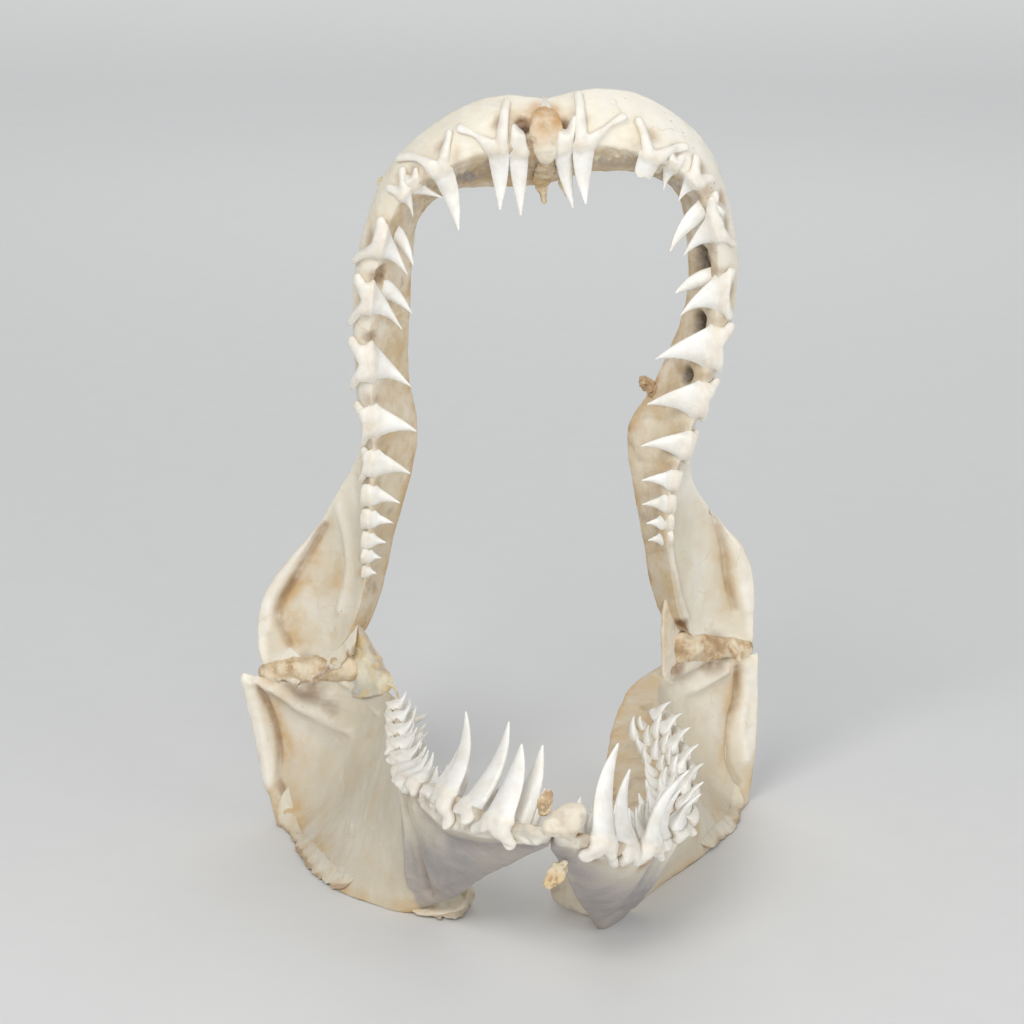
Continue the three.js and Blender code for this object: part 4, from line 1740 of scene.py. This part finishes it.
LOWER_LEFT_TEETH = (
    Tooth(20, 31, 12.5, -8, 2, 0, mesial=(10, 11), distal=(10, 10)),
    Tooth(9, 13, 7, 6, 30, 6),
    Tooth(37, 25, 11, 12, 12, 4, mesial=(7, 8), distal=(6, 8)),
    Tooth(53, 28, 11, 34, -14, 0, mesial=(12, 8), distal=(8, 8)),
    Tooth(58, 24, 8, 38, -12, 2.5),
    Tooth(65, 18, 8, 32, -16, 2),
    Tooth(80, 13.5, 12.5, 6, -38, 0),
    Tooth(96, 12.5, 12.5, -4, -36, 1),
    Tooth(112, 12.5, 12, -8, -36, 2),
    Tooth(128, 12, 11.5, -10, -36, 2.5),
    Tooth(142, 11.5, 11, -10, -36, 3),
    Tooth(154, 10.5, 10, -10, -36, 3),
    Tooth(164, 9.5, 8.5, -12, -34, 4),
)


def upper_right() -> JawHalf:
    """The right half of the upper jaw.

    Returns:
        The half, not built yet.
    """
    return JawHalf(
        "upper_jaw_right", Opening.UPPER, UPPER_RIGHT, UPPER_RIGHT_TEETH, seed=1.0,
        stains=(
            Stain(Mark.CREVICE, (-1.0, -51, 263), 4.5, 1.3, 2.4),
            Stain(Mark.CREVICE, (-0.6, -51, 257), 4.5, 1.3, 2.4),
            # Painted shade: near-black in a small pit.
            Stain(Mark.HOLE, (-1.2, -51, 262), 2.4, 0.9, 1.0),
            Stain(Mark.RUST, (4.5, -49, 268), 7.0, 1.0),
            Stain(Mark.TAN, (0, -50, 262), 12.0, 0.7),
            Stain(Mark.TAN, (2, -44, 248), 14.0, 0.9),
            Stain(Mark.TAN, (-28, -40, 240), 12.0, 0.5),
            Stain(Mark.TAN, (-38, -35, 236), 10.0, 0.6),
            Stain(Mark.GREY, (-20, -36, 240), 9.0, 0.7),
            Stain(Mark.CREVICE, (-49, -30, 209), 5.0, 1.0, 2.4),
            Stain(Mark.CREVICE, (-52, -26, 186), 4.0, 0.7, 1.0),
            Stain(Mark.CREVICE, (-55, -16, 74), 8.0, 0.8),
            Stain(Mark.TAN, (-76, 5, 72), 10.0, 0.7),
            Stain(Mark.TAN, (-66, -1, 95), 13.0, 0.4),
            Stain(Mark.CREVICE, (-74, 3, 57), 9.0, 0.6),
            Stain(Mark.TAN, (-55, -12, 130), 9.0, 0.6),
        ),
        folds=(
            Fold(
                ((-68, 3, 111), (-77, 6, 93), (-84, 7, 80), (-84, 7, 73), (-81, 6, 66)),
                -1.6, 1.3, Mark.CREVICE, 0.55,
            ),
            Fold(
                ((-67, 3, 111), (-76, 6, 93), (-83, 7, 80), (-82, 7, 73), (-79, 6, 66)),
                -0.6, 3.0, Mark.TAN, 0.7,
            ),
            Fold(((-71, 4, 112), (-80, 7, 94), (-88, 8, 80), (-88, 8, 72)), 1.2, 2.2, Mark.PALE, 1.0),
            Fold(((-62, 0, 119), (-60, -6, 98), (-63, -5, 82)), 1.2, 2.2, Mark.PALE, 0.5),
            Fold(((-74, 3, 90), (-68, -1, 82), (-66, -2, 72)), -0.5, 2.6, Mark.TAN, 0.6),
        ),
    )


def upper_left() -> JawHalf:
    """The left half of the upper jaw.

    Returns:
        The half, not built yet.
    """
    return JawHalf(
        "upper_jaw_left", Opening.UPPER, UPPER_LEFT, UPPER_LEFT_TEETH, seed=1.0 + SEED_STEP,
        stains=(
            Stain(Mark.CREVICE, (12.4, -51, 262), 3.6, 0.9, 1.8),
            Stain(Mark.TAN, (12, -44, 248), 14.0, 0.9),
            # Painted shade: near-black inside three deep pits.
            Stain(Mark.HOLE, (64, -20, 210), 8.0, 1.0, 6.0),
            Stain(Mark.HOLE, (64, -18, 187), 6.0, 1.0, 4.5),
            Stain(Mark.HOLE, (60, -17, 168), 4.6, 0.9, 3.0),
            Stain(Mark.CREVICE, (64, -20, 210), 11.0, 0.5),
            Stain(Mark.CREVICE, (63, -18, 186), 9.0, 0.5),
            Stain(Mark.RUST, (7.5, -49, 268), 6.0, 0.9),
            Stain(Mark.TAN, (14, -49, 262), 9.0, 0.5),
            Stain(Mark.TAN, (32, -40, 244), 12.0, 0.5),
            Stain(Mark.CREVICE, (61, -9, 71), 6.0, 1.2, 0.8),
            Stain(Mark.CREVICE, (74, 2, 61), 9.0, 0.6),
            Stain(Mark.TAN, (60, -9, 92), 10.0, 0.5),
        ),
        folds=(
            Fold(((74, 3, 112), (78, 5, 101), (80, 6, 86), (83, 7, 74)), -1.6, 1.3, Mark.CREVICE, 0.4),
            Fold(((73, 3, 112), (77, 5, 101), (79, 6, 86), (82, 7, 74)), -0.6, 3.0, Mark.TAN, 0.6),
            Fold(((78, 5, 112), (83, 7, 101), (85, 8, 86), (87, 7, 74)), 1.2, 2.4, Mark.PALE, 1.0),
            Fold(((57, -14, 112), (59, -12, 92), (64, -7, 76)), 1.4, 2.0, Mark.PALE, 0.8),
            Fold(((61, -12, 90), (66, -7, 78), (74, -1, 70)), -1.0, 2.4, Mark.TAN, 0.5),
        ),
    )


def lower_right() -> JawHalf:
    """The right half of the lower jaw.

    Returns:
        The half, not built yet.
    """
    return JawHalf(
        "lower_jaw_right", Opening.LOWER, LOWER_RIGHT, LOWER_RIGHT_TEETH, seed=1.0 + 2 * SEED_STEP,
        flap=MarginFlap(122, 177),
        stains=(
            Stain(Mark.CREVICE, (-74, 2, 53), 11.0, 0.6),
            Stain(Mark.TAN, (-86, 4, 50), 9.0, 0.8),
            Stain(Mark.CREVICE, (-66, -2, 44), 5.0, 0.35),
            Stain(Mark.TAN, (-84, -10, 3), 14.0, 0.8),
            Stain(Mark.TAN, (-76, -44, 3), 14.0, 0.7),
            Stain(Mark.TAN, (-62, -60, 30), 14.0, 0.4),
            Stain(Mark.TAN, (-70, -22, 24), 11.0, 0.45),
            Stain(Mark.TAN, (-58, -40, 38), 10.0, 0.35),
            Stain(Mark.TAN, (-80, -20, 14), 9.0, 0.5),
            Stain(Mark.TAN, (-56, -74, 14), 9.0, 0.35),
        ),
        folds=(
            Fold(
                ((-48, -74, 49), (-49, -90, 45), (-48, -104, 34), (-46, -102, 21), (-44, -99, 12)),
                2.0, 1.8, Mark.PALE, 0.5,
            ),
            Fold(
                ((-47, -80, 49), (-47, -96, 44), (-45, -110, 33), (-42, -110, 20), (-40, -107, 11)),
                -2.6, 2.0, Mark.CREVICE, 0.3,
            ),
            Fold(
                ((-46, -108, 52), (-36, -142, 49), (-28, -159, 52), (-10, -174, 54)),
                1.8, 1.9, Mark.PALE, 0.9,
            ),
            # Painted shade in the groove under the root shelf.
            Fold(
                ((-43, -118, 45), (-34, -141, 42), (-25, -155, 46), (-10, -170, 48)),
                -2.2, 2.8, Mark.GREY, 0.6,
            ),
            Fold(((-40, -112, 14), (-30, -130, 28), (-16, -152, 42)), 0.9, 2.2),
            Fold(
                ((-94, 6, 55), (-87, 6, 38), (-85, 5, 27), (-85, 2, 14), (-81, -10, 6)),
                -2.0, 1.1, Mark.CREVICE, 0.7,
            ),
            Fold(
                ((-92, 6, 55), (-85, 5, 38), (-83, 4, 27), (-83, 1, 14), (-79, -12, 6)),
                -0.5, 2.6, Mark.TAN, 0.8,
            ),
            Fold(((-97, 6, 55), (-92, 7, 38), (-90, 6, 27), (-89, 3, 14)), 1.4, 2.4, Mark.PALE, 1.0),
            Fold(
                ((-94, 5, 53), (-84, 4, 47), (-77, 2, 42), (-67, -4, 38), (-60, -9, 37)),
                2.2, 2.0, Mark.PALE, 0.5,
            ),
            Fold(((-88, 4, 46), (-78, 1, 38), (-66, -6, 33)), -0.7, 3.4, Mark.GREY, 0.25),
            Fold(((-76, 1, 50), (-68, -3, 49)), 2.6, 4.0, Mark.PALE, 0.4),
            Fold(
                ((-82, 2, 50), (-73, -1, 44), (-64, -7, 42), (-57, -13, 43)),
                -1.4, 1.3, Mark.CREVICE, 0.35,
            ),
            Fold(((-62, -6, 54), (-56, -12, 49), (-50, -20, 47)), 1.2, 1.3, Mark.PALE, 0.6),
            Fold(((-66, -44, 22), (-60, -62, 14), (-58, -72, 6)), 0.5, 0.8, Mark.PALE, 0.8),
            Fold(((-56, -50, 38), (-58, -62, 22), (-55, -78, 12)), 0.35, 0.7, Mark.PALE, 0.6),
            Fold(((-72, -28, 28), (-64, -48, 18), (-62, -58, 8)), 0.35, 0.7, Mark.PALE, 0.6),
        ),
        rows=(
            Rows(70, 166, 9.2, (5.5, 9.0, 12.5), 10.5, 7.5, 10.5, -4, 24),
            Rows(20, 68, 10.0, (9.0, 12.5), 12.0, 10.0, 8.5, -2, 30),
        ),
    )


def lower_left() -> JawHalf:
    """The left half of the lower jaw.

    Returns:
        The half, not built yet.
    """
    return JawHalf(
        "lower_jaw_left", Opening.LOWER, LOWER_LEFT, LOWER_LEFT_TEETH, seed=1.0 + 3 * SEED_STEP,
        front_end=72.0, front_slant=14.0, flap=MarginFlap(126, 183),
        stains=(
            Stain(Mark.CREVICE, (74, 1, 57), 8.0, 0.8),
            Stain(Mark.CREVICE, (60, -10, 57), 6.0, 0.8),
            Stain(Mark.TAN, (84, 5, 54), 8.0, 0.8),
            Stain(Mark.TAN, (76, -26, 3), 13.0, 0.9),
            Stain(Mark.TAN, (64, -36, 24), 18.0, 0.35),
            Stain(Mark.TAN, (72, -8, 38), 10.0, 0.45),
            Stain(Mark.TAN, (58, -50, 14), 12.0, 0.4),
            Stain(Mark.CREVICE, (2, -178, 57), 3.0, 1.0, 1.0),
        ),
        folds=(
            Fold(
                ((84, 5, 52), (84, 5, 41), (81, 4, 30), (81, 1, 17), (85, 2, 8)),
                -1.8, 1.2, Mark.CREVICE, 0.45,
            ),
            Fold(((82, 5, 52), (82, 4, 41), (79, 3, 30), (79, -1, 17)), -0.4, 3.0, Mark.TAN, 0.6),
            Fold(((88, 5, 52), (88, 6, 41), (86, 5, 30), (87, 4, 17)), 1.3, 2.4, Mark.PALE, 0.9),
            Fold(
                ((79, 3, 52), (73, 1, 49), (66, -6, 47), (58, -20, 47), (51, -33, 49)),
                2.6, 2.4, Mark.PALE, 0.7,
            ),
            Fold(((76, 0, 46), (67, -10, 42), (58, -26, 42)), -0.9, 3.2, Mark.TAN, 0.4),
            Fold(((73, 0, 55), (64, -5, 52), (57, -14, 51)), -1.3, 1.3, Mark.CREVICE, 0.3),
            Fold(((66, -2, 57), (60, -9, 54), (55, -15, 54)), 1.0, 1.4, Mark.PALE, 0.5),
            Fold(((44, -118, 36), (36, -118, 18), (30, -112, 6)), 1.6, 2.0, Mark.PALE, 0.6),
            # Painted shade in a groove down the front face.
            Fold(((38, -132, 38), (31, -130, 20), (24, -122, 6)), -1.4, 3.8, Mark.GREY, 0.5),
            Fold(
                ((48, -108, 36), (34, -146, 36), (18, -166, 40), (4, -178, 50)),
                1.8, 2.0, Mark.PALE, 0.9,
            ),
        ),
        rows=(
            Rows(70, 161, 10.5, (5.5, 9.5, 13.5), 10.0, 6.5, 13.0, -6, -6),
            Rows(16, 70, 9.5, (6.0, 10.0, 14.0, 18.0), 14.0, 10.5, 9.5, 4, 10),
        ),
    )


def jaw_halves() -> tuple[JawHalf, ...]:
    """The four jaw halves."""
    return (upper_right(), upper_left(), lower_right(), lower_left())


def straps() -> tuple[Strap, ...]:
    """The thicker soft pieces: symphyses, joints, the lips that lie on the floor, and hanging tags.

    Returns:
        The straps, not built yet.
    """
    aside, backward, level = (1.0, 0.0, 0.0), (0.0, 1.0, 0.0), (0.6, 1.0, 0.0)
    upright = (0.0, 0.25, 1.0)
    return (
        Strap(
            "upper_symphysis",
            (
                (6.1, -46.5, 268.5, 3.2, 0.8), (6.1, -50.5, 265, 5.2, 1.4), (6.1, -52.8, 260, 5.6, 1.8),
                (6.2, -52.8, 255.4, 4.4, 2.0), (6.2, -50.8, 251.4, 2.9, 1.8), (6.3, -47, 248.6, 1.5, 1.3),
            ),
            aside, Look.CARTILAGE, Slot.TISSUE, ("upper_symphysis",),
            crumple=0.7, grain=4.0, tan=0.3, dark=0.35, rust=0.9,
        ),
        Strap(
            "arch_seam",
            (
                (6.8, -35, 270.0, 1.2, 0.4), (6.8, -40, 270.7, 1.3, 0.4),
                (6.7, -44, 269.9, 1.5, 0.5), (6.4, -48, 266.8, 2.2, 0.8),
            ),
            aside, Look.CARTILAGE, Slot.TISSUE, crumple=0.2, grain=4.0, tan=0.2, dark=0.05, seed=19.0,
        ),
        Strap(
            "palate_seam",
            (
                (6.6, -48, 250.6, 2.8, 1.2), (6.8, -42, 246.4, 3.6, 1.4),
                (6.9, -35, 241.8, 3.0, 1.4), (7.1, -30, 238.8, 1.8, 1.0),
            ),
            aside, Look.CARTILAGE, Slot.TISSUE, crumple=0.9, grain=2.6, tan=0.9, dark=0.35, seed=21.0,
        ),
        Strap(
            "lower_symphysis",
            (
                (-9.5, -181, 59.5, 2.2, 2.4), (-4, -180, 61, 4, 4.6),
                (1, -178.5, 61.5, 5, 6), (4, -178, 60.5, 3.4, 4),
            ),
            backward, Look.CARTILAGE, Slot.PALE, ("lower_symphysis",),
            crumple=0.7, grain=5.0, tan=0.3, dark=0.25,
        ),
        Strap(
            "jaw_joint_right",
            (
                (-92, 8.5, 55, 3.5, 4.0), (-79, 5.5, 56.5, 5, 5.2),
                (-67, 0, 58.5, 5.5, 5.8), (-56, -8, 61, 4.2, 6.8),
            ),
            backward, Look.TISSUE, Slot.TISSUE, ("jaw_joint_right",),
            crumple=0.7, grain=7.0, tan=0.8, dark=0.3,
        ),
        Strap(
            "jaw_joint_left",
            (
                (90, 8.5, 58, 3.5, 4.0), (80, 6, 59.5, 5, 5.2),
                (68, 0.5, 61.5, 5.5, 5.8), (57.5, -7, 64, 4.2, 7.2),
            ),
            backward, Look.TISSUE, Slot.TISSUE, ("jaw_joint_left",),
            crumple=0.7, grain=7.0, tan=0.8, dark=0.3, seed=8.0,
        ),
        Strap(
            "lower_lip_right",
            (
                (-45, -88, 1.2, 4, 1.6), (-36, -95, 1.6, 8, 2),
                (-27, -93, 3, 6.5, 2.6), (-23.5, -89, 5.5, 3.5, 2.8),
            ),
            level, Look.CARTILAGE, Slot.CARTILAGE, crumple=0.7, grain=5.0, tan=0.35, dark=0.35,
        ),
        Strap(
            "lower_lip_left",
            ((24, -108, 5, 5, 2.4), (13, -103, 7.5, 7, 2.8), (4, -92, 6.5, 5.5, 2.4)),
            upright, Look.CARTILAGE, Slot.CARTILAGE, crumple=0.5, grain=7.0, tan=0.3, dark=0.3,
        ),
        Strap(
            "palate_tag_middle",
            ((6, -30, 241, 2.4, 1.2), (7.4, -31, 236.5, 1.7, 1.1), (8.1, -31, 232.6, 1.0, 0.8)),
            aside, Look.MEMBRANE, Slot.TISSUE, crumple=0.5, dark=0.5,
        ),
        Strap(
            "palate_tag_left",
            ((14, -30, 241, 2.0, 1.2), (15.2, -31, 237.5, 1.2, 0.9), (15.6, -31, 235, 0.8, 0.7)),
            aside, Look.MEMBRANE, Slot.TISSUE, crumple=0.5, dark=0.5, seed=7.0,
        ),
        Strap(
            "arch_tag_right",
            ((-43, -24, 237.5, 1.4, 0.9), (-46, -25, 239, 2.7, 1.0), (-48.6, -25, 241.5, 1.3, 0.8)),
            (0.3, 0.0, 1.0), Look.MEMBRANE, Slot.TISSUE, crumple=0.7, grain=2.0, dark=0.4, seed=9.0,
        ),
        Strap(
            "arch_tag_left",
            ((53, -4, 157.5, 2.6, 1.5), (48.6, -4.5, 161, 2.7, 1.5), (45.3, -5, 165, 1.3, 1.0)),
            (0.3, 0.0, 1.0), Look.TISSUE, Slot.TISSUE, crumple=0.9, grain=2.0, dark=0.6, seed=11.0,
        ),
        Strap(
            "chin_tag_upper",
            ((-8.8, -177, 63, 2.0, 1.5), (-8.2, -178.5, 68, 2.4, 1.6), (-6.6, -178, 72, 1.3, 1.1)),
            aside, Look.TISSUE, Slot.TISSUE, crumple=0.6, grain=2.4, dark=0.6, seed=13.0,
        ),
        Strap(
            "chin_tag_lower",
            (
                (1.0, -165, 42.5, 1.4, 1.0), (-2.5, -166, 40, 3.0, 1.2),
                (-5, -166.5, 36.5, 2.2, 1.0), (-7.5, -166, 36, 1.2, 0.8),
            ),
            upright, Look.MEMBRANE, Slot.TISSUE, crumple=0.8, grain=2.4, dark=0.6, seed=15.0,
        ),
        Strap(
            "corner_strand",
            ((-47, -20, 58.5, 0.7, 0.6), (-44.3, -23, 57, 0.5, 0.5), (-42.5, -27, 51, 0.7, 0.6)),
            aside, Look.MEMBRANE, Slot.TISSUE, crumple=0.2, dark=0.5,
        ),
        Strap(
            "joint_tendon",
            ((79.6, -1.5, 63, 1.3, 1.1), (81.8, -2.4, 60, 1.4, 1.2), (83.4, -2.6, 56.5, 1.0, 0.9)),
            aside, Look.TISSUE, Slot.TISSUE, crumple=0.25, dark=0.3, seed=17.0,
        ),
    )


def sheets() -> tuple[Sheet, ...]:
    """The thin skins: mouth corners, a joint's ragged skin and a flap on the floor.

    Returns:
        The sheets, not built yet.
    """
    return (
        Sheet(
            "corner_membrane_right",
            ((-58, -7, 79), (-59, -6, 69), (-60, -5.5, 59), (-59, -7, 49)),
            ((-55.5, -11, 77.5), (-50, -15, 68.5), (-46, -19.5, 62), (-42, -25, 54)),
            Look.MEMBRANE, nodes=("corner_membrane_right",), corner=5.0, ragged=0.06, crumple=0.7,
            grey=0.8, tan=0.4, edge=0.5,
        ),
        Sheet(
            "corner_membrane_left",
            ((60, -2, 88), (62, -1, 74), (63, -1, 64), (60, -6, 50)),
            ((52.6, -12, 88), (52.8, -12.5, 73), (53.2, -13.5, 63), (49.5, -18, 50)),
            Look.CARTILAGE, nodes=("corner_membrane_left",), thick=1.2, corner=3.0, ragged=0.04,
            tan=0.25, edge=0.1, seed=6.0,
        ),
        Sheet(
            "joint_flap_right",
            (
                (-88, 9, 62), (-83, 7, 64), (-76, 5.5, 65),
                (-69, 1.5, 67), (-62, -4.5, 71), (-56.5, -8, 80),
            ),
            (
                (-89, 5.5, 55), (-82, 2.5, 54), (-76, -0.5, 54.5),
                (-70, -4, 58), (-63, -8.5, 62.5), (-56, -12, 70),
            ),
            Look.CARTILAGE, thick=0.7, ragged=0.3, tan=0.2, edge=0.7, seed=12.0,
        ),
        Sheet(
            "floor_flap_right",
            ((-48, -85, 4), (-41, -90, 5), (-33, -92, 5), (-25, -90, 6.5)),
            ((-43, -91, 1.0), (-37, -103, 0.9), (-29.5, -103.5, 0.9), (-24, -96, 1.6)),
            Look.CARTILAGE, ragged=0.2, tan=0.15, edge=0.6, seed=16.0,
        ),
    )


def main() -> None:
    """Builds the jaws piece by piece, then the studio round them."""
    logging.basicConfig(level=logging.INFO, format="%(name)s: %(message)s")
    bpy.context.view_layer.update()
    finishes = Finishes.build()
    for half in jaw_halves():
        half.cartilage(finishes)
        teeth = half.grow_teeth(finishes)
        log.info("%s with %d teeth", half.name, len(teeth))
        if half.flap:
            half.flap.sheet(half).build(finishes)
            log.info("%s margin flap", half.name)
    for piece in (*straps(), *sheets()):
        piece.build(finishes)
        log.info("%s", piece.name)
    Studio().build()
    log.info("studio")


if __name__ == "__main__":
    main()
